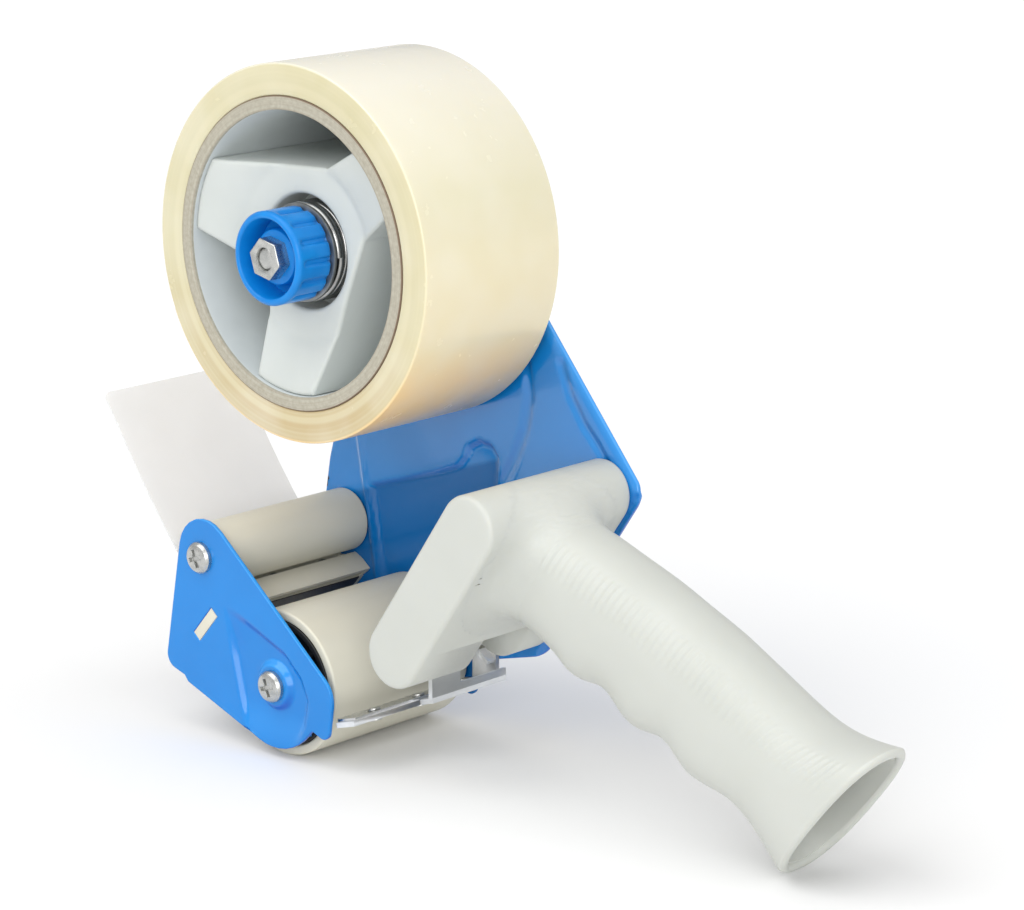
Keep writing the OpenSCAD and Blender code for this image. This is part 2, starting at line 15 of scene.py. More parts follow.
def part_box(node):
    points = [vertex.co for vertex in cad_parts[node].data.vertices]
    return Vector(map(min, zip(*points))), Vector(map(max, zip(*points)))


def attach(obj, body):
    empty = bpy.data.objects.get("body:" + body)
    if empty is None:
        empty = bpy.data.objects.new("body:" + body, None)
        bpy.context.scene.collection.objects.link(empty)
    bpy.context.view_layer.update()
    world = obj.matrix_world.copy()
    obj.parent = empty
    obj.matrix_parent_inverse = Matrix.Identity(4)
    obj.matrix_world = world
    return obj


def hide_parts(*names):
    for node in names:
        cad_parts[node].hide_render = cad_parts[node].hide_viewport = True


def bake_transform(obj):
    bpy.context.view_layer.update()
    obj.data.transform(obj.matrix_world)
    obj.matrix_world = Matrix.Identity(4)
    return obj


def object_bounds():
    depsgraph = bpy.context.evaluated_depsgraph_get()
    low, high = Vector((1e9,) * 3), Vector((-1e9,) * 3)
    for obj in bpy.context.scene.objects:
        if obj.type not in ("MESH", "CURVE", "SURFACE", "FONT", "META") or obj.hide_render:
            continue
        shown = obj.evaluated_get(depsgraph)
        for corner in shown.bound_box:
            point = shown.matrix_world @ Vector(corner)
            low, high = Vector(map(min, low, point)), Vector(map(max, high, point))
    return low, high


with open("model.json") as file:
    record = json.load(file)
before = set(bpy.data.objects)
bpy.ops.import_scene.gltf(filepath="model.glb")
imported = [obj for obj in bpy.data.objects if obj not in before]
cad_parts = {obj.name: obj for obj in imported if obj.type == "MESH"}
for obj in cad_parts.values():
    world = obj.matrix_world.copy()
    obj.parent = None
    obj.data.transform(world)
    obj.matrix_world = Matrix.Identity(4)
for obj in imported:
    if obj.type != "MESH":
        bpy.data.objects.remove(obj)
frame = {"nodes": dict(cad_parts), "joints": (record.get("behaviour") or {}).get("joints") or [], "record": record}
cad_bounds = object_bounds()

MM = 0.001
JOINTS = {joint["name"]: joint for joint in frame["joints"]}
HUB = Vector(JOINTS["hub_spin"]["pos_m"])
BODY_OF = {node: body for body, nodes in frame["record"]["behaviour"]["bodies"].items() for node in nodes}
SLOT_OF = {part["node"]: part["material_slot"] for part in frame["record"]["subparts"]}


# ---------------------------------------------------------------- places taken from the frame

def from_hub(point):
    """A place in metres as [x, y, z] in millimetres from the hub's axis."""
    return (Vector(point) - HUB) / MM


def centre_of(joint):
    place = from_hub(JOINTS[joint]["pos_m"])
    return np.array([place.x, place.z])


def span(node, axis):
    """Where a CAD node begins and ends along an axis, in millimetres from the hub's axis."""
    low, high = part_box(node)
    return from_hub(low)[axis], from_hub(high)[axis]


X, Y, Z = 0, 1, 2
MAIN_FACE_Y, MAIN_OUT_Y = span("main_side_plate", Y)
FRONT_OUT_Y, FRONT_FACE_Y = span("front_side_plate", Y)
FRAME_MID_Y = (MAIN_FACE_Y + FRONT_FACE_Y) / 2
ROLLER_AT = centre_of("application_roller_spin")
GUIDE_AT = centre_of("guide_roller_spin")
HUB_AT = np.array([0.0, 0.0])


# ---------------------------------------------------------------- camera

def make_camera():
    """Looks from the small plate's side, from behind and a little above."""
    data = bpy.data.cameras.new("camera")
    data.sensor_width = 36
    data.lens = 123.05
    camera = bpy.data.objects.new("camera", data)
    camera.location = (0.6073, -0.6447, 0.3154)
    forward = Vector((-0.66181, 0.70800, -0.24649))
    camera.rotation_euler = forward.to_track_quat("-Z", "Y").to_euler()
    bpy.context.scene.collection.objects.link(camera)
    bpy.context.scene.camera = camera


make_camera()


# ---------------------------------------------------------------- outlines

def unit(v):
    return v / np.linalg.norm(v)


def curve(a, b, c, d, count):
    """Points of a cubic curve from a to d, drawn towards b and c."""
    t = np.linspace(0, 1, count)[:, None]
    a, b, c, d = (np.array(p, float) for p in (a, b, c, d))
    k = 1 - t
    return k ** 3 * a + 3 * k * k * t * b + 3 * k * t * t * c + t ** 3 * d


def signed_area(loop):
    x, z = loop[:, 0], loop[:, 1]
    return 0.5 * np.sum(x * np.roll(z, -1) - np.roll(x, -1) * z)


def soften(loop, radius, least_turn=18, steps=5):
    """Rounds each corner of a closed loop that turns by more than least_turn degrees."""
    out = []
    count = len(loop)
    for i in range(count):
        before, at, after = loop[i - 1], loop[i], loop[(i + 1) % count]
        u, v = before - at, after - at
        lu, lv = np.linalg.norm(u), np.linalg.norm(v)
        u, v = u / lu, v / lv
        inner = math.acos(np.clip(u @ v, -1, 1))
        if math.degrees(math.pi - inner) < least_turn:
            out.append(at)
            continue
        back = min(radius / math.tan(inner / 2), 0.45 * lu, 0.45 * lv)
        r = back * math.tan(inner / 2)
        middle = at + unit(u + v) * r / math.sin(inner / 2)
        start, end = at + u * back - middle, at + v * back - middle
        a = math.atan2(start[1], start[0])
        turn = math.atan2(start[0] * end[1] - start[1] * end[0], start @ end)
        for step in range(steps + 1):
            angle = a + turn * step / steps
            out.append(middle + r * np.array([math.cos(angle), math.sin(angle)]))
    return np.array(out)


def resampled(loop, longest):
    """The same loop with points added along its long sides."""
    out = []
    for at, after in zip(loop, np.roll(loop, -1, axis=0)):
        pieces = max(1, math.ceil(np.linalg.norm(after - at) / longest))
        out += [at + (after - at) * i / pieces for i in range(pieces)]
    return np.array(out)


def inset(loop, distance):
    """A counter-clockwise loop moved inwards, or a clockwise one moved outwards."""
    ahead = np.roll(loop, -1, axis=0) - loop
    ahead /= np.linalg.norm(ahead, axis=1)[:, None]
    behind = np.roll(ahead, 1, axis=0)
    along = ahead + behind
    along /= np.maximum(np.linalg.norm(along, axis=1), 1e-6)[:, None]
    normal = np.stack([-along[:, 1], along[:, 0]], axis=1)
    lean = np.maximum(np.sum(along * ahead, axis=1), 0.5)
    return loop + normal * (distance / lean)[:, None]


def inside(points, loop):
    """Which points lie inside a closed loop."""
    x, z = points[:, 0][:, None], points[:, 1][:, None]
    ax, az = loop[:, 0][None], loop[:, 1][None]
    bx, bz = np.roll(ax, -1, axis=1), np.roll(az, -1, axis=1)
    crosses = (az > z) != (bz > z)
    where = ax + (z - az) / np.where(bz == az, 1e-9, bz - az) * (bx - ax)
    return np.sum(crosses & (x < where), axis=1) % 2 == 1


def distance_to(points, line, closed=False):
    """The distance from each point to a line of straight stretches."""
    line = np.array(line, float)
    ends = np.roll(line, -1, axis=0) if closed else line[1:]
    starts = line if closed else line[:-1]
    best = np.full(len(points), np.inf)
    for a, b in zip(starts, ends):
        d = b - a
        t = np.clip((points - a) @ d / (d @ d), 0, 1)
        best = np.minimum(best, np.linalg.norm(points - a - t[:, None] * d, axis=1))
    return best


def smooth(t):
    t = np.clip(t, 0, 1)
    return t * t * (3 - 2 * t)


def circle(centre, r, count=48):
    a = np.linspace(0, 2 * math.pi, count, endpoint=False)
    return np.array(centre) + r * np.stack([np.cos(a), np.sin(a)], axis=1)


def section_loops(node, y):
    """The closed loops in which the plane at y cuts a CAD node, largest first."""
    bm = bmesh.new()
    bm.from_mesh(frame["nodes"][node].data)
    bmesh.ops.remove_doubles(bm, verts=bm.verts, dist=1e-6)
    plane = HUB + Vector((0, y, 0)) * MM
    geometry = bm.verts[:] + bm.edges[:] + bm.faces[:]
    cut = bmesh.ops.bisect_plane(bm, geom=geometry, plane_co=plane, plane_no=(0, 1, 0))["geom_cut"]
    edges = {e for e in cut if isinstance(e, bmesh.types.BMEdge)}
    loops = []
    while edges:
        edge = edges.pop()
        start, at = edge.verts
        loop = [start.co.copy(), at.co.copy()]
        while at != start:
            onward = next((e for e in at.link_edges if e in edges), None)
            if onward is None:
                break
            edges.discard(onward)
            at = onward.other_vert(at)
            loop.append(at.co.copy())
        flat = np.array([[from_hub(p).x, from_hub(p).z] for p in loop[:-1]])
        loops.append(flat if signed_area(flat) > 0 else flat[::-1])
    bm.free()
    return sorted(loops, key=lambda loop: -abs(signed_area(loop)))


# ---------------------------------------------------------------- meshes

class Shape:
    """Points in millimetres from the hub's axis, and the faces between them."""

    def __init__(self):
        self.points = []
        self.faces = []

    def add(self, points, faces):
        start = len(self.points)
        self.points += [tuple(p) for p in points]
        self.faces += [[start + i for i in face] for face in faces]
        return self

    def grid(self, rings, closed_run=False):
        """Joins closed rings of the same number of points with four-sided faces."""
        rings = np.array(rings)
        runs, count = rings.shape[:2]
        faces = []
        for i in range(runs if closed_run else runs - 1):
            for j in range(count):
                k, l = (j + 1) % count, (i + 1) % runs
                faces.append([i * count + j, i * count + k, l * count + k, l * count + j])
        return self.add(rings.reshape(-1, 3), faces)


def place(name, shape, material, body, nodes=(), slot=None, sharp=32):
    """Makes a shape into a piece that rides on a body and stands for the CAD nodes."""
    mesh = bpy.data.meshes.new(name)
    mesh.from_pydata([HUB + Vector(p) * MM for p in shape.points], [], shape.faces)
    bm = bmesh.new()
    bm.from_mesh(mesh)
    bmesh.ops.remove_doubles(bm, verts=bm.verts, dist=2e-7)
    bmesh.ops.dissolve_degenerate(bm, edges=bm.edges, dist=2e-7)
    bmesh.ops.recalc_face_normals(bm, faces=bm.faces)
    bm.to_mesh(mesh)
    bm.free()
    return dress(bpy.data.objects.new(name, mesh), material, body, nodes, sharp)


def dress(piece, material, body, nodes, sharp):
    if piece.name not in bpy.context.scene.collection.objects:
        bpy.context.scene.collection.objects.link(piece)
    piece.data.materials.clear()
    piece.data.materials.append(material)
    piece.data.shade_smooth()
    piece.data.set_sharp_from_angle(angle=math.radians(sharp))
    if body:
        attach(piece, body)
    if nodes:
        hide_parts(*nodes)
    return piece


def edge_steps(radius, count=3):
    """How far in and how deep each ring of a rounded edge lies."""
    angles = np.linspace(0, math.pi / 2, count + 1)
    return [(radius * (1 - math.cos(a)), radius * (1 - math.sin(a))) for a in angles]


def flat_points(loop, y):
    return np.stack([loop[:, 0], np.broadcast_to(y, len(loop)), loop[:, 1]], axis=1)


def relief_prism(outline, holes, face_y, back_y, relief=None, back_relief=None, edge=0.25, cell=1.5):
    """A plate or block with rounded edges. Its face looks towards -y and stands out by relief(points)."""
    shape = Shape()
    out_loop = resampled(outline, 1.2 * cell)
    hole_loops = [resampled(hole, 1.2 * cell)[::-1] for hole in holes]
    flat = lambda points: np.zeros(len(points))
    relief, back_relief = relief or flat, back_relief or flat
    steps = edge_steps(edge)
    for loop in [out_loop] + hole_loops:
        front = [flat_points(p, face_y + deep - relief(p)) for p, deep in
                 ((inset(loop, far), deep) for far, deep in reversed(steps))]
        back = [flat_points(p, back_y - deep - back_relief(p)) for p, deep in
                ((inset(loop, far), deep) for far, deep in steps)]
        shape.grid(front + back)
    inner = [inset(loop, edge) for loop in [out_loop] + hole_loops]
    low, high = inner[0].min(0), inner[0].max(0)
    grid = np.stack(np.meshgrid(np.arange(low[0], high[0], cell), np.arange(low[1], high[1], cell)), -1)
    grid = grid.reshape(-1, 2)
    grid = grid[inside(grid, inner[0])]
    for loop in inner:
        grid = grid[distance_to(grid, loop, closed=True) > 0.4 * cell]
    for loop in inner[1:]:
        grid = grid[~inside(grid, loop)]
    points, edges = [], []
    for loop in inner:
        start = len(points)
        points += [Vector(p) for p in loop]
        edges += [(start + i, start + (i + 1) % len(loop)) for i in range(len(loop))]
    points += [Vector(p) for p in grid]
    found, _, faces, *_ = delaunay_2d_cdt(points, edges, [], 0, 1e-6)
    found = np.array([tuple(p) for p in found])
    middles = np.array([found[list(f)].mean(0) for f in faces])
    keep = inside(middles, inner[0])
    for loop in inner[1:]:
        keep &= ~inside(middles, loop)
    faces = [list(f) for f, kept in zip(faces, keep) if kept]
    shape.add(flat_points(found, face_y - relief(found)), faces)
    shape.add(flat_points(found, back_y - back_relief(found)), [f[::-1] for f in faces])
    return shape


def turned(profile, centre=HUB_AT, steps=128, change=None):
    """A closed [radius, y] profile turned round y. change(radius, y, angles) reshapes it."""
    angles = np.linspace(0, 2 * math.pi, steps, endpoint=False)
    rings = []
    for radius, y in profile:
        r = change(radius, y, angles) if change else np.full(steps, radius)
        x, z = centre[0] + r * np.cos(angles), centre[1] + r * np.sin(angles)
        rings.append(np.stack([x, np.full(steps, y), z], axis=1))
    return Shape().grid(rings, closed_run=True)


def rounded_profile(points, radius=0.3, steps=4):
    return soften(np.array(points, float), radius, steps=steps)


def tube(path, radius, sides=16):
    """A round wire along a path of points."""
    path = np.array(path, float)
    ahead = np.gradient(path, axis=0)
    ahead /= np.linalg.norm(ahead, axis=1)[:, None]
    rings = []
    for at, along in zip(path, ahead):
        side = unit(np.cross(along, [0, 1, 0]))
        up = np.cross(side, along)
        a = np.linspace(0, 2 * math.pi, sides, endpoint=False)[:, None]
        rings.append(at + radius * (np.cos(a) * side + np.sin(a) * up))
    shape = Shape().grid(rings)
    last = (len(rings) - 1) * sides
    shape.faces.append(list(range(sides)))
    shape.faces.append([last + i for i in range(sides)][::-1])
    return shape


def bevelled_copy(node, material, width):
    """A CAD node with its edges broken, as on the real part."""
    source = frame["nodes"][node]
    mesh = source.data.copy()
    bm = bmesh.new()
    bm.from_mesh(mesh)
    bmesh.ops.remove_doubles(bm, verts=bm.verts, dist=2e-6)
    bmesh.ops.dissolve_limit(bm, angle_limit=math.radians(0.5), verts=bm.verts, edges=bm.edges)
    bm.to_mesh(mesh)
    bm.free()
    piece = bpy.data.objects.new(node + "_finished", mesh)
    bpy.context.scene.collection.objects.link(piece)
    bevel = piece.modifiers.new("edges", "BEVEL")
    bevel.width = width * MM
    bevel.segments = 2
    bevel.limit_method = "ANGLE"
    bevel.angle_limit = math.radians(28)
    bevel.use_clamp_overlap = True
    apply_modifiers(piece)
    return dress(piece, material, BODY_OF[node], [node], 30)


def apply_modifiers(piece):
    bpy.context.view_layer.update()
    evaluated = piece.evaluated_get(bpy.context.evaluated_depsgraph_get())
    mesh = bpy.data.meshes.new_from_object(evaluated)
    piece.modifiers.clear()
    piece.data = mesh


# ---------------------------------------------------------------- materials

def surface(name, colours, roughness, tone_mm=18, grain_mm=0.6, bump=0.02, metallic=0.0, coat=0.0,
            coat_roughness=0.08, specular=0.5, subsurface=0.0, subsurface_mm=2.0, transmission=0.0, ior=1.5,
            stretch=(1, 1, 1), extra=None):
    """A material whose tone drifts slowly, and whose roughness and height change with a fine grain."""
    material = bpy.data.materials.new(name)
    material.use_nodes = True
    nodes, links = material.node_tree.nodes, material.node_tree.links
    shader = nodes["Principled BSDF"]
    shader.inputs["Metallic"].default_value = metallic
    shader.inputs["Coat Weight"].default_value = coat
    shader.inputs["Coat Roughness"].default_value = coat_roughness
    shader.inputs["Specular IOR Level"].default_value = specular
    shader.inputs["IOR"].default_value = ior
    shader.inputs["Transmission Weight"].default_value = transmission
    shader.inputs["Subsurface Weight"].default_value = subsurface
    shader.inputs["Subsurface Radius"].default_value = (1.0, 0.85, 0.6)
    shader.inputs["Subsurface Scale"].default_value = subsurface_mm * MM
    where = nodes.new("ShaderNodeTexCoord")
    mapping = nodes.new("ShaderNodeMapping")
    mapping.inputs["Scale"].default_value = stretch
    links.new(where.outputs["Object"], mapping.inputs["Vector"])
    tone = noise(nodes, links, mapping.outputs["Vector"], 1 / (tone_mm * MM), 3)
    grain = noise(nodes, links, mapping.outputs["Vector"], 1 / (grain_mm * MM), 4)
    ramp = nodes.new("ShaderNodeValToRGB")
    ramp.color_ramp.elements[0].position = 0.3
    ramp.color_ramp.elements[1].position = 0.7
    ramp.color_ramp.elements[0].color = (*colours[0], 1)
    ramp.color_ramp.elements[1].color = (*colours[1], 1)
    links.new(tone.outputs["Fac"], ramp.inputs["Fac"])
    links.new(ramp.outputs["Color"], shader.inputs["Base Color"])
    spread = nodes.new("ShaderNodeMapRange")
    spread.inputs["From Min"].default_value = 0.3
    spread.inputs["From Max"].default_value = 0.7
    spread.inputs["To Min"].default_value = roughness[0]
    spread.inputs["To Max"].default_value = roughness[1]
    links.new(grain.outputs["Fac"], spread.inputs["Value"])
    links.new(spread.outputs["Result"], shader.inputs["Roughness"])
    height = nodes.new("ShaderNodeBump")
    height.inputs["Strength"].default_value = 1.0
    height.inputs["Distance"].default_value = bump * MM
    links.new(grain.outputs["Fac"], height.inputs["Height"])
    links.new(height.outputs["Normal"], shader.inputs["Normal"])
    if extra:
        extra(nodes, links, shader, mapping.outputs["Vector"], ramp.outputs["Color"], height)
    return material


def noise(nodes, links, vector, scale, detail):
    node = nodes.new("ShaderNodeTexNoise")
    node.inputs["Scale"].default_value = scale
    node.inputs["Detail"].default_value = detail
    node.inputs["Roughness"].default_value = 0.55
    links.new(vector, node.inputs["Vector"])
    return node


def axis_coordinates(nodes, links, vector, centre):
    """The distance from a turning axis along y, and the angle round it, as sockets."""
    shift = nodes.new("ShaderNodeVectorMath")
    shift.operation = "SUBTRACT"
    shift.inputs[1].default_value = (HUB.x + centre[0] * MM, 0, HUB.z + centre[1] * MM)
    links.new(vector, shift.inputs[0])
    parts = nodes.new("ShaderNodeSeparateXYZ")
    links.new(shift.outputs[0], parts.inputs[0])
    flat = nodes.new("ShaderNodeCombineXYZ")
    links.new(parts.outputs["X"], flat.inputs["X"])
    links.new(parts.outputs["Z"], flat.inputs["Z"])
    length = nodes.new("ShaderNodeVectorMath")
    length.operation = "LENGTH"
    links.new(flat.outputs[0], length.inputs[0])
    angle = nodes.new("ShaderNodeMath")
    angle.operation = "ARCTAN2"
    links.new(parts.outputs["Z"], angle.inputs[0])
    links.new(parts.outputs["X"], angle.inputs[1])
    return length.outputs["Value"], angle.outputs["Value"], parts.outputs["Y"]


def mix(nodes, links, factor, first, second):
    """The first colour where the factor is 0, and the second where it is 1."""
    node = nodes.new("ShaderNodeMix")
    node.data_type = "RGBA"
    links.new(factor, node.inputs["Factor"])
    for socket, value in ((node.inputs["A"], first), (node.inputs["B"], second)):
        if isinstance(value, tuple):
            socket.default_value = (*value, 1)
        else:
            links.new(value, socket)
    return node.outputs["Result"]


def colours_of(nodes, links, value, stops):
    """A colour for each value between 0 and 1. Stops are (value, colour)."""
    node = nodes.new("ShaderNodeValToRGB")
    elements = node.color_ramp.elements
    while len(elements) < len(stops):
        elements.new(0.5)
    for element, (position, colour) in zip(elements, stops):
        element.position = position
        element.color = (*colour, 1)
    links.new(value, node.inputs["Fac"])
    return node.outputs["Color"]


def ramp_of(nodes, links, value, stops):
    """A grey for each value between 0 and 1. Stops are (value, brightness)."""
    return colours_of(nodes, links, value, [(position, (grey, grey, grey)) for position, grey in stops])


def scaled(nodes, links, value, low, high):
    """The value as 0 at low and 1 at high, and no further."""
    node = nodes.new("ShaderNodeMapRange")
    node.inputs["From Min"].default_value = low
    node.inputs["From Max"].default_value = high
    links.new(value, node.inputs["Value"])
    return node.outputs["Result"]


BLUES = ((0.003, 0.185, 0.560), (0.004, 0.215, 0.630))
# Painted shade and painted highlight blues for slopes that look down and up, standing in for what they reflect.
SLOPE_SHADE_BLUE = (0.001, 0.110, 0.520)
SLOPE_HIGHLIGHT_BLUE = (0.030, 0.300, 0.760)
# Painted shade for the pressed panel of the main plate, standing in for the darker reflection it shows.
PANEL_SHADE_BLUE = (0.002, 0.125, 0.400)
ENAMEL_ROUGHNESS = (0.10, 0.17)


def painted_slope_shading(nodes, links, shader, vector, colour, height):
    """Paints slopes deeper where they look down and paler where they look up, like what they reflect."""
    surface_of = nodes.new("ShaderNodeNewGeometry")
    parts = nodes.new("ShaderNodeSeparateXYZ")
    links.new(surface_of.outputs["Normal"], parts.inputs[0])
    looks_down = scaled(nodes, links, parts.outputs["Z"], -0.06, -0.60)
    looks_up = scaled(nodes, links, parts.outputs["Z"], 0.08, 0.60)
    deep = mix(nodes, links, looks_down, colour, SLOPE_SHADE_BLUE)
    pale = mix(nodes, links, looks_up, deep, SLOPE_HIGHLIGHT_BLUE)
    links.new(pale, shader.inputs["Base Color"])
    return pale


blue_enamel = surface("blue_enamel", BLUES, ENAMEL_ROUGHNESS, tone_mm=34, grain_mm=1.6, bump=0.005,
                      extra=painted_slope_shading)


def painted_panel_shade(nodes, links, shader, vector, colour, height):
    """Paints the pressed panel darker, as painted shade for the darker reflection it shows, and makes it less
    shiny than the rest, on both faces of the plate.
    """
    low = along_direction(nodes, links, vector, PANEL_EDGE, PANEL_DOWN)
    front = along_direction(nodes, links, vector, PANEL_REAR, (-1, 0, 0))
    both = nodes.new("ShaderNodeMath")
    both.operation = "MULTIPLY"
    links.new(scaled(nodes, links, low, 0, PANEL_SLOPE * MM), both.inputs[0])
    links.new(scaled(nodes, links, front, 0, PANEL_SLOPE * MM), both.inputs[1])
    slopes = painted_slope_shading(nodes, links, shader, vector, colour, height)
    tone = mix(nodes, links, both.outputs[0], slopes, PANEL_SHADE_BLUE)
    links.new(tone, shader.inputs["Base Color"])
    shine = nodes.new("ShaderNodeMapRange")
    shine.inputs["To Min"].default_value = 0.8
    shine.inputs["To Max"].default_value = 0.1
    links.new(both.outputs[0], shine.inputs["Value"])
    links.new(shine.outputs["Result"], shader.inputs["Coat Weight"])


def along_direction(nodes, links, vector, start, direction):
    """How far a point lies from start along a direction, in metres."""
    shift = nodes.new("ShaderNodeVectorMath")
    shift.operation = "SUBTRACT"
    shift.inputs[1].default_value = HUB + Vector((start[0], 0, start[1])) * MM
    links.new(vector, shift.inputs[0])
    dot = nodes.new("ShaderNodeVectorMath")
    dot.operation = "DOT_PRODUCT"
    dot.inputs[1].default_value = Vector(direction).normalized()
    links.new(shift.outputs[0], dot.inputs[0])
    return dot.outputs["Value"]


PANEL_SLOPE = 1.5
PANEL_EDGE = (0.9, -68.4)
PANEL_DOWN = (0.32, 0, -0.95)
PANEL_REAR = (25.0, -64.0)
blue_gloss = surface("blue_gloss", BLUES, ENAMEL_ROUGHNESS, tone_mm=34, grain_mm=1.6, bump=0.005,
                     coat=0.8, coat_roughness=0.04, extra=painted_panel_shade)
handle_plastic = surface("handle_plastic", ((0.515, 0.530, 0.492), (0.550, 0.565, 0.528)), (0.36, 0.48),
                         tone_mm=35, grain_mm=0.45, bump=0.006, subsurface=0.20, subsurface_mm=3)
roller_plastic = surface("roller_plastic", ((0.600, 0.580, 0.480), (0.660, 0.640, 0.540)), (0.34, 0.48),
                         tone_mm=24, grain_mm=0.5, bump=0.008, stretch=(1, 0.25, 1))
guide_plastic = surface("guide_plastic", ((0.600, 0.575, 0.475), (0.660, 0.635, 0.530)), (0.38, 0.50),
                        tone_mm=15, grain_mm=0.4, bump=0.008)
black_plastic = surface("black_plastic", ((0.008, 0.008, 0.009), (0.016, 0.016, 0.018)), (0.45, 0.60),
                        grain_mm=0.4)
hub_plastic = surface("hub_plastic", ((0.540, 0.570, 0.545), (0.590, 0.620, 0.595)), (0.34, 0.46),
                      tone_mm=25, grain_mm=0.4, bump=0.006, subsurface=0.08, subsurface_mm=1.2)
knob_plastic = surface("knob_plastic", ((0.001, 0.185, 0.580), (0.002, 0.235, 0.670)), (0.28, 0.40),
                       tone_mm=8, grain_mm=0.5, bump=0.010, coat=0.1, specular=0.3)
zinc_screw = surface("zinc_screw", ((0.42, 0.43, 0.42), (0.60, 0.60, 0.58)), (0.20, 0.38), tone_mm=2.5,
                     grain_mm=0.25, bump=0.012, metallic=0.95)
zinc_sheet = surface("zinc_sheet", ((0.60, 0.62, 0.64), (0.72, 0.74, 0.76)), (0.28, 0.44), tone_mm=5,
                     grain_mm=0.5, bump=0.010, metallic=0.3, stretch=(1, 0.3, 1))
axle_steel = surface("axle_steel", ((0.40, 0.41, 0.42), (0.50, 0.51, 0.52)), (0.24, 0.36), tone_mm=6,
                     grain_mm=0.3, bump=0.006, metallic=1.0, stretch=(1, 6, 1))
blade_steel = surface("blade_steel", ((0.56, 0.57, 0.58), (0.68, 0.69, 0.70)), (0.18, 0.32), tone_mm=4,
                      grain_mm=0.3, bump=0.006, metallic=1.0, stretch=(5, 1, 1))
spring_steel = surface("spring_steel", ((0.30, 0.30, 0.29), (0.44, 0.44, 0.43)), (0.16, 0.28), tone_mm=4,
                       grain_mm=0.3, bump=0.006, metallic=1.0)
washer_steel = surface("washer_steel", ((0.20, 0.21, 0.21), (0.30, 0.31, 0.31)), (0.30, 0.45), tone_mm=4,
                       grain_mm=0.3, bump=0.008, metallic=0.9)
brake_fibre = surface("brake_fibre", ((0.10, 0.075, 0.05), (0.16, 0.12, 0.085)), (0.75, 0.9), tone_mm=2,
                      grain_mm=0.3, bump=0.04)


# Tones by angle round the hub: painted light near the top and painted shade low down, amber on the outside.
OD_LIGHT_SHADE_TONES = [(0.00, (0.72, 0.67, 0.49)), (0.22, (0.92, 0.62, 0.28)), (0.39, (0.90, 0.64, 0.32)),
            (0.437, (0.76, 0.66, 0.43)), (0.56, (0.70, 0.66, 0.48)), (0.68, (0.77, 0.74, 0.64)),
            (0.80, (0.77, 0.74, 0.64)), (1.00, (0.72, 0.67, 0.49))]
SIDE_SHADE_TONES = [(0.00, (0.58, 0.54, 0.34)), (0.20, (0.51, 0.40, 0.22)), (0.33, (0.51, 0.40, 0.22)),
              (0.45, (0.58, 0.53, 0.33)), (1.00, (0.58, 0.54, 0.34))]
BAND_TONE = (0.63, 0.58, 0.38)
CLOUD_TONE = (0.78, 0.75, 0.64)
ROLL_EDGE = (0.0490, 0.0506)
BANDS_PER_METRE = 420
DRIFT_MM = 22
BOARD_EDGE = (0.0408, 0.0419)
BOARD_LAYERS_PER_METRE = 1500
LAYER_BROWN = (0.30, 0.25, 0.19)
PAPER_BROWN = (0.17, 0.11, 0.07)


def roll_rings_and_painted_light(nodes, links, shader, vector, colour, height):
    """Fine rings of wound tape on the sides, and painted light and shade by angle that stand in for reflections.
    """
    radius, angle, _ = axis_coordinates(nodes, links, vector, HUB_AT)
    turn = scaled(nodes, links, angle, -math.pi, math.pi)
    edge = scaled(nodes, links, radius, *ROLL_EDGE)
    outside = ramp_of(nodes, links, edge, [(0.45, 0.0), (0.9, 1.0)])
    stretched = nodes.new("ShaderNodeCombineXYZ")
    links.new(radius, stretched.inputs["X"])
    bands = noise(nodes, links, stretched.outputs[0], BANDS_PER_METRE, 2)
    band = ramp_of(nodes, links, bands.outputs["Fac"], [(0.42, 0.0), (0.60, 0.6)])
    side = mix(nodes, links, band, colours_of(nodes, links, turn, SIDE_SHADE_TONES), BAND_TONE)
    both = mix(nodes, links, outside, side, colours_of(nodes, links, turn, OD_LIGHT_SHADE_TONES))
    drift = noise(nodes, links, vector, 1 / (DRIFT_MM * MM), 2)
    cloud = ramp_of(nodes, links, drift.outputs["Fac"], [(0.40, 0.0), (0.65, 0.25)])
    links.new(mix(nodes, links, cloud, both, CLOUD_TONE), shader.inputs["Base Color"])


packing_tape = surface("packing_tape", ((0.66, 0.58, 0.30), (0.70, 0.62, 0.35)), (0.20, 0.28), tone_mm=14,
                       grain_mm=6, bump=0.004, coat=0.25, coat_roughness=0.15, subsurface=0.3,
                       subsurface_mm=3, extra=roll_rings_and_painted_light)


def board_marks(nodes, links, shader, vector, colour, height):
    """Layers of grey board, and the brown paper round the outside."""
    radius, *_ = axis_coordinates(nodes, links, vector, HUB_AT)
    stretched = nodes.new("ShaderNodeCombineXYZ")
    links.new(radius, stretched.inputs["X"])
    layers = noise(nodes, links, stretched.outputs[0], BOARD_LAYERS_PER_METRE, 2)
    layer = ramp_of(nodes, links, layers.outputs["Fac"], [(0.45, 0.0), (0.65, 0.5)])
    dark = mix(nodes, links, layer, colour, LAYER_BROWN)
    edge = scaled(nodes, links, radius, *BOARD_EDGE)
    outside = ramp_of(nodes, links, edge, [(0.55, 0.0), (0.75, 0.9)])
    links.new(mix(nodes, links, outside, dark, PAPER_BROWN), shader.inputs["Base Color"])


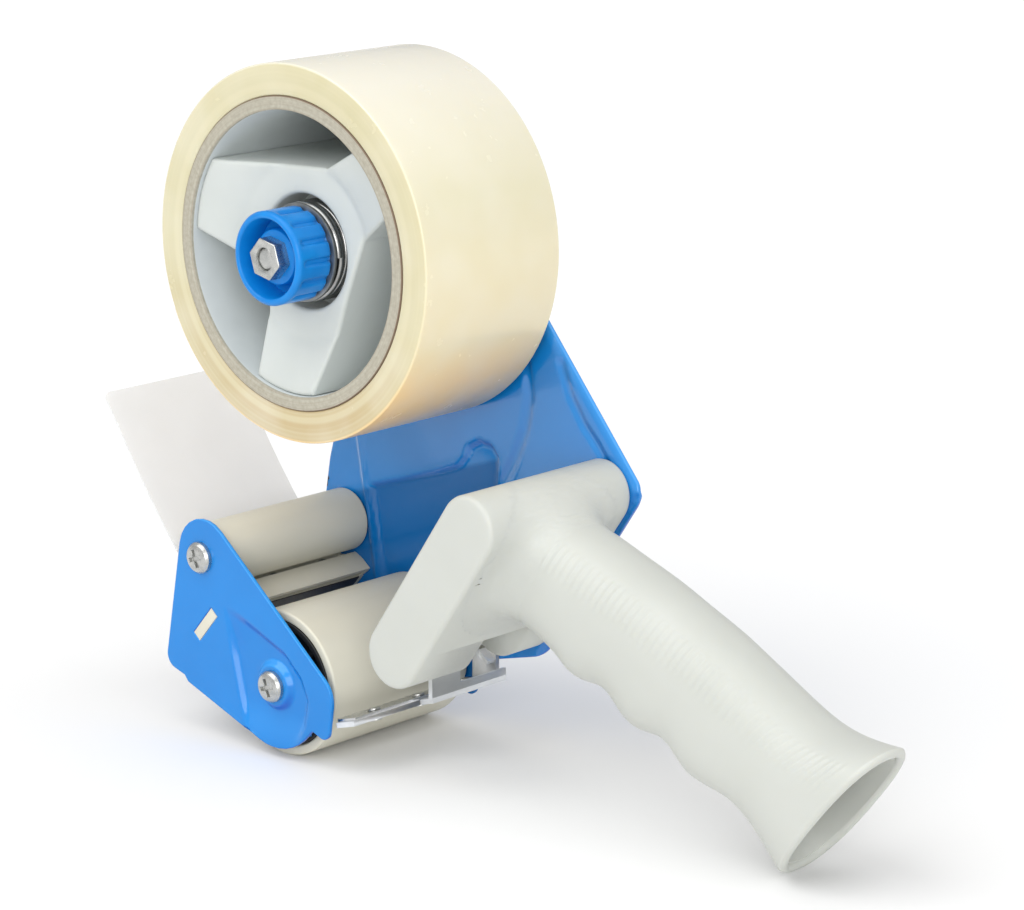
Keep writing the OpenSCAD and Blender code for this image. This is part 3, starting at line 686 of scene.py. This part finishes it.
core_board = surface("core_board", ((0.36, 0.34, 0.27), (0.47, 0.45, 0.37)), (0.75, 0.92), tone_mm=1.2,
                     grain_mm=0.35, bump=0.05, extra=board_marks)
core_lining = surface("core_lining", ((0.56, 0.60, 0.60), (0.64, 0.68, 0.68)), (0.42, 0.6), tone_mm=20,
                      grain_mm=0.5, bump=0.02)
pale_floor = surface("pale_floor", ((0.875, 0.875, 0.875), (0.885, 0.885, 0.885)), (0.7, 0.85),
                     tone_mm=400, grain_mm=4, bump=0.01, specular=0.1)
clear_sheet = surface("clear_sheet", ((0.92, 0.92, 0.92), (0.96, 0.96, 0.96)), (0.16, 0.24), tone_mm=30,
                      grain_mm=2, bump=0.004, transmission=0.40, ior=1.3)


# ---------------------------------------------------------------- side plates

BOSS_APEX = np.array([-25.0, -98.8])
BOSS_LEFT = [(-25.0, -98.8), (-26.2, -101.1), (-23.2, -114.5), (-19.7, -129.0), (-17.6, -138.0)]
BOSS_RIGHT = [(-25.0, -98.8), (-23.6, -99.7), (-10.5, -105.2), (-1.5, -108.7), (5.0, -114.6), (8.0, -121.0),
              (6.4, -129.0), (2.0, -138.0)]
BOSS_HEIGHT = -1.7
BOSS_LEFT_SLOPE = 2.0
BOSS_RIGHT_SLOPE = 3.0
DISH_R = 5.4
DISH_WALL = 1.9


def front_plate_relief(points):
    """A fan pressed inwards, with a round seat left standing under the lower screw."""
    area = soften(np.array(BOSS_LEFT[::-1] + BOSS_RIGHT[1:], float), 2.2)
    within = inside(points, area)
    left = np.where(within, distance_to(points, BOSS_LEFT), 0)
    right = np.where(within, distance_to(points, BOSS_RIGHT), 0)
    rise = smooth(left / BOSS_LEFT_SLOPE) * smooth(right / BOSS_RIGHT_SLOPE)
    fade = smooth((points[:, 1] + 138) / 13)
    near_apex = smooth(np.linalg.norm(points - BOSS_APEX, axis=1) / 16)
    dish = smooth((np.linalg.norm(points - ROLLER_AT, axis=1) - DISH_R) / DISH_WALL)
    return BOSS_HEIGHT * rise * fade * near_apex * dish


BEAD_LINE = [(-30.0, -57.0), (-29.1, -64.3), (-26.1, -81.9), (-22.8, -101.1), (-21.2, -112.0)]
BEAD_HEIGHT = 0.8
BEAD_WIDTH = 1.7
CRESCENT_OUTER = [(35.0, -33.0), (36.2, -41.5), (34.3, -51.6), (33.0, -54.6), (30.4, -60.5), (26.4, -67.0),
                  (20.0, -78.0)]
CRESCENT_WIDTH = 2.4
CRESCENT_DEPTH = 0.9
PANEL = [(-25.2, -76.9), (-22.8, -76.1), (-13.2, -73.2), (0.9, -68.4), (9.0, -65.2), (11.5, -62.2),
         (13.2, -59.0), (17.5, -56.6), (22.5, -57.2), (25.2, -60.6), (24.8, -67.0), (20.5, -80.0),
         (12.0, -93.0), (0.0, -104.0), (-20.0, -108.0)]
PANEL_DEPTH = 1.0
REAR_STREAK = [(47.5, -31.0), (51.0, -39.4), (55.7, -46.3), (60.7, -51.4), (66.0, -58.0)]
STREAK_DEPTH = 0.7
STREAK_WIDTH = 2.2
RIM_LINE = [(14.9, 12.3), (75.9, -61.4), (41.0, -114.0)]
RIM_WIDTH = 3.0
RIM_DEPTH = 0.9


def ridge(points, line, width):
    """One along a line, and falling smoothly to nothing at a distance of width from it."""
    return smooth(1 - distance_to(points, line) / width)


def main_plate_relief(points):
    """A hook-shaped sunk panel, a bead down the front, a crescent crease and a rolled rear rim."""
    panel = soften(np.array(PANEL, float), 2.5)
    deep = np.where(inside(points, panel), distance_to(points, panel, closed=True), 0)
    height = -PANEL_DEPTH * smooth(deep / PANEL_SLOPE)
    height += BEAD_HEIGHT * ridge(points, BEAD_LINE, BEAD_WIDTH)
    height -= CRESCENT_DEPTH * ridge(points, CRESCENT_OUTER, CRESCENT_WIDTH)
    height -= STREAK_DEPTH * ridge(points, REAR_STREAK, STREAK_WIDTH)
    rim = np.clip(1 - distance_to(points, RIM_LINE) / RIM_WIDTH, 0, 1)
    return height - RIM_DEPTH * rim ** 2


def make_front_plate():
    outline, *holes = section_loops("front_side_plate", (FRONT_OUT_Y + FRONT_FACE_Y) / 2)
    shape = relief_prism(outline, holes, FRONT_OUT_Y, FRONT_FACE_Y, front_plate_relief, front_plate_relief,
                         edge=0.3, cell=0.4)
    place("front_plate", shape, blue_enamel, "frame", ["front_side_plate"], sharp=60)


def make_main_plate():
    outline, *holes = section_loops("main_side_plate", (MAIN_OUT_Y + MAIN_FACE_Y) / 2)
    shape = relief_prism(outline, holes, MAIN_FACE_Y, MAIN_OUT_Y, main_plate_relief, main_plate_relief,
                         edge=0.3, cell=0.8)
    place("main_plate", shape, blue_gloss, "frame", ["main_side_plate"], sharp=60)


# ---------------------------------------------------------------- rollers

SLEEVE_BACK = 2.4
CORE_BACK = 1.3
SLEEVE_WALL = 2.7
AXLE_BORE_R = 4.05
BOSS_R = 7.2
WEB_BACK = 3


def radius_of(node):
    """Half the height of a round CAD node."""
    low, high = span(node, Z)
    return (high - low) / 2


def make_rollers():
    r = radius_of("application_roller")
    y0, y1 = span("application_roller", Y)
    y0 += SLEEVE_BACK
    inner = r - SLEEVE_WALL
    sleeve = rounded_profile([[inner, y0], [r, y0], [r, y1], [inner, y1]], 0.7, 5)
    place("application_roller_sleeve", turned(sleeve, ROLLER_AT, 160), roller_plastic,
          "application_roller_assembly", ["application_roller"])
    core_r = inner - 0.05
    y0, y1 = span("application_roller_core", Y)
    y0 += CORE_BACK
    web0, web1 = y0 + WEB_BACK, y1 - WEB_BACK
    core = rounded_profile([[AXLE_BORE_R, y0], [BOSS_R, y0], [BOSS_R, web0], [core_r, web0], [core_r, web1],
                            [BOSS_R, web1], [BOSS_R, y1], [AXLE_BORE_R, y1]], 0.3)
    rim = rounded_profile([[core_r - 1.6, y0], [core_r, y0], [core_r, y1], [core_r - 1.6, y1]], 0.3)
    shape = turned(core, ROLLER_AT, 96)
    shape.add(*ribs_between(ROLLER_AT, 6.5, core_r - 1.0, y0 + 0.6, y0 + 3.4, 8))
    shape.add(*ribs_between(ROLLER_AT, 6.5, core_r - 1.0, y1 - 3.4, y1 - 0.6, 8))
    ring = turned(rim, ROLLER_AT, 96)
    shape.add(ring.points, ring.faces)
    place("application_roller_hub", shape, black_plastic, "application_roller_assembly",
          ["application_roller_core"])
    r = radius_of("guide_roller")
    y0, y1 = span("guide_roller", Y)
    guide = rounded_profile([[AXLE_BORE_R, y0 + 2], [6.2, y0 + 2], [6.2, y0], [r, y0], [r, y1], [6.2, y1],
                             [6.2, y1 - 2], [AXLE_BORE_R, y1 - 2]], 0.6, 5)
    place("guide_roller_sleeve", turned(guide, GUIDE_AT, 128), roller_plastic, "guide_roller_assembly",
          ["guide_roller"])


def ribs_between(centre, r0, r1, y0, y1, count, thickness=1.4):
    """Straight ribs like spokes, between two radii."""
    points, faces = [], []
    for i in range(count):
        angle = 2 * math.pi * i / count
        out = np.array([math.cos(angle), math.sin(angle)])
        side = np.array([-out[1], out[0]])
        start = len(points)
        for y in (y0, y1):
            for r, s in ((r0, -1), (r1, -1), (r1, 1), (r0, 1)):
                at = centre + r * out + s * thickness / 2 * side
                points.append((at[0], y, at[1]))
        faces += [[start + j for j in f] for f in
                  ((0, 1, 2, 3), (7, 6, 5, 4), (0, 4, 5, 1), (1, 5, 6, 2), (2, 6, 7, 3), (3, 7, 4, 0))]
    return points, faces


# ---------------------------------------------------------------- handle

GROOVE_START = np.array([80.2, -100.9])
GROOVE_ANGLE = math.radians(-23.95)
GROOVE_PITCH = 22
GROOVE_PHASE = math.radians(-58)
GROOVE_DEPTH = 3.1
GROOVE_LENGTH = 2.22 * GROOVE_PITCH
GRIP_WIDTH = 28
GRIP_WALL = 2.8
OVAL_POWER = 2 / 2.4
HEAD_LOW = np.array([36.8, -102.4])
HEAD_HIGH = np.array([64.0, -63.0])
HEAD_R = 9.05
HEAD_Y0, HEAD_Y1 = span("handle", Y)
SLOT_Y = (-3, 15.5)
SLOT_TOP = -100.5
SADDLE = 11.0
RING_POINTS = 120
RIB_PITCH = 2.2
RIB_HEIGHT = 0.22
RIB_START = 18
RIB_END = 1.5
RIB_NEAR = (36, 71)
RIB_FAR = (56, 80)


def groove_points(count):
    s = np.linspace(0, GROOVE_LENGTH, count)[:, None]
    along = np.array([math.cos(GROOVE_ANGLE), math.sin(GROOVE_ANGLE)])
    up = np.array([-along[1], along[0]])
    wave = math.cos(GROOVE_PHASE) - np.cos(GROOVE_PHASE + 2 * math.pi * s / GROOVE_PITCH)
    return GROOVE_START + s * along + GROOVE_DEPTH / 2 * wave * up


def grip_lines():
    """The back of the grip and its finger side, point by point."""
    grooves = groove_points(150)
    back = np.concatenate([
        curve([61, -60], [73.9, -61], [83.8, -64.4], [92.9, -67.6], 60),
        curve([92.9, -67.6], [110.1, -73.7], [125.3, -80.2], [140.8, -88.8], 150)[1:],
        curve([140.8, -88.8], [159.4, -99.3], [163.3, -102.9], [181.3, -102.1], 70)[1:]])
    fingers = np.concatenate([
        curve([48.1, -87.9], [61.7, -90.3], [74.3, -95.4], GROOVE_START, 60),
        grooves[1:],
        curve(grooves[-1], [133.4, -123.9], [137, -120], [152.3, -139.7], 70)[1:]])
    return back, fingers


def head_distance(points):
    """How far each point stands from the surface of the handle's head."""
    along = HEAD_HIGH - HEAD_LOW
    flat = points[:, [0, 2]]
    t = np.clip((flat - HEAD_LOW) @ along / (along @ along), 0, 1)
    out = np.linalg.norm(flat - HEAD_LOW - t[:, None] * along, axis=1) - HEAD_R
    side = np.maximum(HEAD_Y0 - points[:, 1], points[:, 1] - HEAD_Y1)
    both = np.stack([out, side], axis=1)
    return np.minimum(both.max(1), 0) + np.linalg.norm(np.maximum(both, 0), axis=1)


def grip_ring(back, fingers, wall=0.0, past=0.0):
    """One oval ring of the grip, with its centre and its outward directions."""
    up = unit(back - fingers)
    centre = (back + fingers) / 2 + past * np.array([up[1], -up[0]])
    half_h = np.linalg.norm(back - fingers) / 2 - wall
    half_w = GRIP_WIDTH / 2 - wall
    a = np.linspace(0, 2 * math.pi, RING_POINTS, endpoint=False)
    c, s = np.cos(a), np.sin(a)
    high = half_h * np.sign(c) * np.abs(c) ** OVAL_POWER
    wide = half_w * np.sign(s) * np.abs(s) ** OVAL_POWER
    points = np.stack([centre[0] + high * up[0], FRAME_MID_Y + wide, centre[1] + high * up[1]], axis=1)
    middle = np.array([centre[0], FRAME_MID_Y, centre[1]])
    return points, middle, a


def blended_with_head(points, middle):
    """Flares a ring out where it comes near the head, so that the two run into each other."""
    out = points - middle
    out /= np.linalg.norm(out, axis=1)[:, None]
    best = np.zeros(len(points))
    for step in np.linspace(0, SADDLE, 56):
        near_head = head_distance(points + out * step)
        overlap = np.maximum(SADDLE - np.abs(near_head - step), 0)
        joined = np.minimum(near_head, step) - overlap ** 2 / (4 * SADDLE)
        best = np.where((joined <= 0) & (near_head > -0.6), step, best)
    return points + out * best[:, None]


def rib_lift(distance, angles, length):
    """The fine cross ribs along both sides of the grip."""
    wave = np.clip(np.cos(2 * math.pi * distance / RIB_PITCH) * 1.3, -0.15, 1) + 0.15
    ends = smooth((distance - RIB_START) / 4) * smooth((length - RIB_END - distance) / 3)
    near, far = np.degrees(2 * math.pi - angles), np.degrees(angles)
    band = (smooth((near - RIB_NEAR[0]) / 4) * smooth((RIB_NEAR[1] - near) / 4)
            + smooth((far - RIB_FAR[0]) / 4) * smooth((RIB_FAR[1] - far) / 4))
    return RIB_HEIGHT * max(wave, 0) * ends * band


def make_grip():
    back, fingers = grip_lines()
    middles = (back + fingers) / 2
    run = np.concatenate([[0], np.cumsum(np.linalg.norm(np.diff(middles, axis=0), axis=1))])
    wanted = np.arange(0, run[-1], 0.42)
    pick = lambda line: np.stack([np.interp(wanted, run, line[:, i]) for i in (0, 1)], axis=1)
    back, fingers = pick(back), pick(fingers)
    rings = []
    half_wall = GRIP_WALL / 2
    for along, b, f in zip(wanted, back, fingers):
        points, middle, angles = grip_ring(b, f, past=-half_wall * smooth((along - run[-1] + 30) / 30))
        if along < 45:
            points = blended_with_head(points, middle)
        out = points - middle
        out /= np.linalg.norm(out, axis=1)[:, None]
        rings.append(points + out * rib_lift(along, angles, run[-1])[:, None])
    for turn in np.linspace(0.15, math.pi, 9):
        rings.append(grip_ring(back[-1], fingers[-1], wall=half_wall * (1 - math.cos(turn)),
                               past=-half_wall + half_wall * math.sin(turn))[0])
    for b, f in list(zip(back, fingers))[-4:60:-6]:
        rings.append(grip_ring(b, f, wall=GRIP_WALL)[0])
    shape = Shape().grid(rings)
    last = (len(rings) - 1) * RING_POINTS
    shape.faces.append([last + i for i in range(RING_POINTS)])
    shape.faces.append(list(range(RING_POINTS))[::-1])
    return shape


def stadium(low, high, r, count=36):
    along = math.atan2(*(high - low)[::-1])
    a = along + math.pi / 2 + np.linspace(0, math.pi, count)
    b = a + math.pi
    arc = lambda centre, angles: centre + r * np.stack([np.cos(angles), np.sin(angles)], axis=1)
    return np.concatenate([arc(low, a), arc(high, b)])


def make_handle():
    place("grip_body", make_grip(), handle_plastic, "frame", ["handle"], sharp=50)
    head = relief_prism(stadium(HEAD_LOW, HEAD_HIGH, HEAD_R), [], HEAD_Y0, HEAD_Y1, edge=1.3, cell=2.5)
    piece = place("grip_head", head, handle_plastic, "frame", slot=SLOT_OF["handle"], sharp=40)
    cut_slot(piece)


def cut_slot(head):
    """Cuts the slot under the head that leaves room for the bracket."""
    x0, x1 = HEAD_LOW[0] - 2 * HEAD_R, HEAD_LOW[0] + 2 * HEAD_R
    block = [[x0, SLOT_TOP - 2 * HEAD_R], [x1, SLOT_TOP - 2 * HEAD_R], [x1, SLOT_TOP], [x0, SLOT_TOP]]
    block = soften(np.array(block), 1.5)
    rings = [flat_points(block, y) for y in SLOT_Y]
    cutter_shape = Shape().grid(rings)
    count = len(block)
    cutter_shape.faces += [list(range(count)), list(range(count, 2 * count))[::-1]]
    cutter = place("slot_cutter", cutter_shape, handle_plastic, None, slot=SLOT_OF["handle"])
    cut = head.modifiers.new("slot", "BOOLEAN")
    cut.operation = "DIFFERENCE"
    cut.solver = "EXACT"
    cut.object = cutter
    apply_modifiers(head)
    bpy.data.objects.remove(cutter)


# ---------------------------------------------------------------- tape roll and hub

CORE_BORE_R = 38.1
TAPE_STEP = 0.16
TAPE_END = math.radians(205)
LINING_Y_GAPS = (0.6, 0.5)


def make_roll():
    r = radius_of("tape_roll")
    core_out = radius_of("cardboard_core")
    y0, y1 = span("tape_roll", Y)

    def wound(radius, y, angles):
        """The last turn of tape ends in a small step across the roll."""
        outer = smooth((radius - core_out) / (r - core_out) * 2 - 1)
        return radius - TAPE_STEP * outer * (((angles - TAPE_END) / (2 * math.pi)) % 1)

    corners = rounded_profile([[core_out + 0.02, y0], [r, y0], [r, y1], [core_out + 0.02, y1]], 0.45)
    tape = turned(corners, HUB_AT, 256, wound)
    place("wound_tape", tape, packing_tape, "tape_hub_assembly", ["tape_roll"])
    board = rounded_profile([[CORE_BORE_R, y0 - 0.25], [core_out, y0 - 0.25], [core_out, y1],
                             [CORE_BORE_R, y1]], 0.3)
    place("core_tube", turned(board, HUB_AT, 200), core_board, "tape_hub_assembly", ["cardboard_core"])
    inner, outer = CORE_BORE_R - 0.04, CORE_BORE_R + 0.2
    low, high = y0 + LINING_Y_GAPS[0], y1 - LINING_Y_GAPS[1]
    lining = rounded_profile([[inner, low], [outer, low], [outer, high], [inner, high]], 0.03)
    place("core_lining", turned(lining, HUB_AT, 200), core_lining, "tape_hub_assembly", slot="core_board")


HUB_FRONT_Y = -19.3
HUB_LIP_Y = -23.9
HUB_LIP_R0 = 24.0
HUB_RECESS_R = 15.4
HUB_RECESS_Y = -9.3
HUB_BORE_R = 6.05
HUB_FLANGE = 2


def hub_relief(points):
    """The face is flat round the knob and rises towards the ends of the lobes."""
    r = np.linalg.norm(points, axis=1)
    out = np.maximum(r - HUB_LIP_R0 + 1.5, 0)
    return (HUB_FRONT_Y - HUB_LIP_Y) * np.minimum(out, 16) / 15.5 * smooth(out / 3)


def make_hub():
    outline = section_loops("tape_hub", HUB_FRONT_Y + 1)[0]
    outline = soften(outline, 2.2, steps=6)
    y_back = span("tape_hub", Y)[1]
    back = y_back - HUB_FLANGE
    recess = circle(HUB_AT, HUB_RECESS_R, 96)
    shape = relief_prism(outline, [recess], HUB_FRONT_Y, back, hub_relief, edge=1.1, cell=1.3)
    flange_r = radius_of("tape_hub")
    inner_r = HUB_RECESS_R + 0.6
    lathe = [
        rounded_profile([[HUB_BORE_R, y_back], [flange_r, y_back], [flange_r, back],
                         [HUB_BORE_R, back]], 0.5),
        rounded_profile([[HUB_BORE_R, HUB_RECESS_Y], [inner_r, HUB_RECESS_Y], [inner_r, back],
                         [HUB_BORE_R, back]], 0.2)]
    for profile in lathe:
        part = turned(profile, HUB_AT, 144)
        shape.add(part.points, part.faces)
    place("tape_hub_moulding", shape, hub_plastic, "tape_hub_assembly", ["tape_hub"], sharp=40)


# ---------------------------------------------------------------- knob and spring

KNOB_FLUTES = 14
FLUTE_DEPTH = 0.95
KNOB_BORE_R = 3.35


def make_knob():
    r = radius_of("tension_knob")
    y0, y1 = span("tension_knob", Y)

    def fluted(radius, y, angles):
        """Broad ribs with narrow flutes between them, which stop short of the front rim."""
        if radius < r - 1.2:
            return np.full(len(angles), radius)
        wave = np.cos(angles * KNOB_FLUTES)
        depth = FLUTE_DEPTH * smooth((y - y0 - 1.6) / 1.6)
        return radius - depth * smooth((wave - 0.30) / 0.6)

    side = [[r - 0.25, y] for y in np.linspace(y0 + 0.9, y1 - 0.8, 14)]
    front_rim = [[r - 2.3, y0 + 8.3], [r - 2.2, y0 + 0.5], [r - 1.9, y0 + 0.12], [r - 1.5, y0],
                 [r - 1.05, y0 + 0.1], [r - 0.6, y0 + 0.4]]
    back = [[r - 0.7, y1 - 0.3], [r - 1.4, y1], [KNOB_BORE_R, y1], [KNOB_BORE_R, y0 + 3.4]]
    nut_seat = [[6.6, y0 + 3.2], [7.2, y0 + 3.4], [7.5, y0 + 4.0], [7.7, y0 + 8.0], [8.2, y0 + 8.3]]
    knob = turned(front_rim + side + back + nut_seat, HUB_AT, 168, fluted)
    place("knob_body", knob, knob_plastic, "knob", ["tension_knob"], sharp=45)


WIRE_R = 1.05
SPRING_TURNS = 4.6
CLOSED_TURNS = 0.45
OPEN_TURNS = SPRING_TURNS - 2 * CLOSED_TURNS


def make_spring():
    """A coil at its resting length, with closed turns at both ends. It rides on the frame."""
    y0, y1 = span("tension_spring", Y)
    r = radius_of("tension_spring") - WIRE_R
    turns = np.linspace(0, SPRING_TURNS, 420)
    risen = (turns - CLOSED_TURNS) / OPEN_TURNS
    rise = 0.35 * smooth(risen) + 0.65 * np.clip(risen, 0, 1)
    y = y0 + WIRE_R + (y1 - y0 - 2 * WIRE_R) * rise
    angles = 2 * math.pi * turns
    path = np.stack([r * np.cos(angles), y, r * np.sin(angles)], axis=1)
    place("coil_spring", tube(path, WIRE_R), spring_steel, "frame", ["tension_spring"])


# ---------------------------------------------------------------- flap

FLAP_HALF = 0.2
FLAP_CORNER = 2.5
FLAP_BOW = 0.9
FLAP_FREE = 62


def make_flap():
    """One clear sheet: its lower edge stays in the clamp, and the rest bows slightly along its free length."""
    hinge = from_hub(JOINTS["flap_flex"]["pos_m"])
    foot = np.array([hinge.x, hinge.z])
    low_x, low_z = span("flap_clamped_edge", X)[1], span("flap_clamped_edge", Z)[0]
    tip = np.array([span("tape_flap", X)[0] + 0.16, span("tape_flap", Z)[1] - 0.12])
    end = np.array([low_x - 0.16, low_z + 0.12])
    y0, y1 = span("tape_flap", Y)
    down = unit(end - tip)
    length = np.linalg.norm(end - tip)
    out = np.array([-down[1], down[0]])
    sheet = soften(np.array([[0, y0], [length, y0], [length, y1], [0, y1]]), FLAP_CORNER)
    flat = relief_prism(sheet, [], -FLAP_HALF, FLAP_HALF, edge=0.08, cell=2.2)
    points = []
    for s, across, y in flat.points:
        bow = FLAP_BOW * math.sin(math.pi * min(max(s / FLAP_FREE, 0), 1)) ** 2
        at = tip + s * down + (across - bow) * out
        points.append((at[0], y, at[1]))
    shape = Shape().add(points, flat.faces)
    piece = place("clear_flap", shape, clear_sheet, None, ["tape_flap", "flap_clamped_edge"], sharp=40)
    end = foot - 9 * down
    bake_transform(piece)


# ---------------------------------------------------------------- small metal parts

SMALL_PARTS = {
    "roller_axle_screws": (zinc_screw, 0.12), "handle_screws": (zinc_screw, 0.12),
    "bracket_screws": (zinc_screw, 0.10), "application_roller_axle": (axle_steel, 0.2),
    "guide_roller_axle": (axle_steel, 0.2), "flap_clamp_strip": (zinc_sheet, 0.15),
    "flap_rivets": (zinc_screw, 0.15), "blade_rivets": (zinc_screw, 0.12),
    "cutter_blade": (blade_steel, 0.10), "blade_bracket": (zinc_sheet, 0.25),
    "spindle_bolt": (zinc_screw, 0.3), "spindle_sleeve": (axle_steel, 0.15),
    "friction_washer": (brake_fibre, 0.15), "pressure_washer": (zinc_sheet, 0.2),
    "knob_washer": (washer_steel, 0.2), "knob_nut": (zinc_screw, 0.35),
    "tape_guide": (guide_plastic, 0.3)}


GUIDE_WEB = [(-37.1, -111.9), (-29.9, -103.7)]


def make_guide_gap_shadow():
    """A dark sheet on the face of the web that looks back under the guide's lip: painted shade for the dark gap
    there.
    """
    y0, y1 = FRONT_FACE_Y + 1.4, MAIN_FACE_Y - 1.4
    low, high = (np.array(p) for p in GUIDE_WEB)
    along = unit(high - low)
    out = np.array([along[1], -along[0]])
    near, far = 1.5, 1.75
    strip = np.array([low + near * out, high + near * out, high + far * out, low + far * out])
    rings = [flat_points(strip, y) for y in (y0, y1)]
    shape = Shape().grid(rings)
    shape.faces += [[0, 1, 2, 3], [7, 6, 5, 4]]
    place("guide_gap_shadow", shape, black_plastic, "frame", slot="guide_plastic")


def make_small_parts():
    for node, (material, width) in SMALL_PARTS.items():
        bevelled_copy(node, material, width)
    make_guide_gap_shadow()


# ---------------------------------------------------------------- floor and light

WORLD_STRENGTH = 0.62


def make_stage():
    floor_z = cad_bounds[0][2]
    bpy.ops.mesh.primitive_plane_add(size=14, location=(0, 0, floor_z))
    floor = bpy.context.object
    floor.name = "floor"
    floor.data.materials.append(pale_floor)
    world = bpy.data.worlds.new("studio")
    world.use_nodes = True
    background = world.node_tree.nodes["Background"]
    background.inputs["Color"].default_value = (1, 1, 1, 1)
    background.inputs["Strength"].default_value = WORLD_STRENGTH
    bpy.context.scene.world = world


def soft_sun(name, towards_light, strength, spread):
    data = bpy.data.lights.new(name, "SUN")
    data.energy = strength
    data.angle = math.radians(spread)
    light = bpy.data.objects.new(name, data)
    light.rotation_euler = Vector(towards_light).to_track_quat("Z", "Y").to_euler()
    bpy.context.scene.collection.objects.link(light)


def make_lights():
    soft_sun("key_light", (-0.15, -0.62, 0.77), 1.3, 55)
    soft_sun("fill_light", (0.66, -0.71, 0.25), 1.25, 40)
    soft_sun("top_light", (0.55, 0.05, 0.83), 0.7, 60)


make_front_plate()
make_main_plate()
make_rollers()
make_handle()
make_roll()
make_hub()
make_knob()
make_spring()
make_flap()
make_small_parts()
make_stage()
make_lights()
bpy.context.scene.view_settings.view_transform = "Standard"
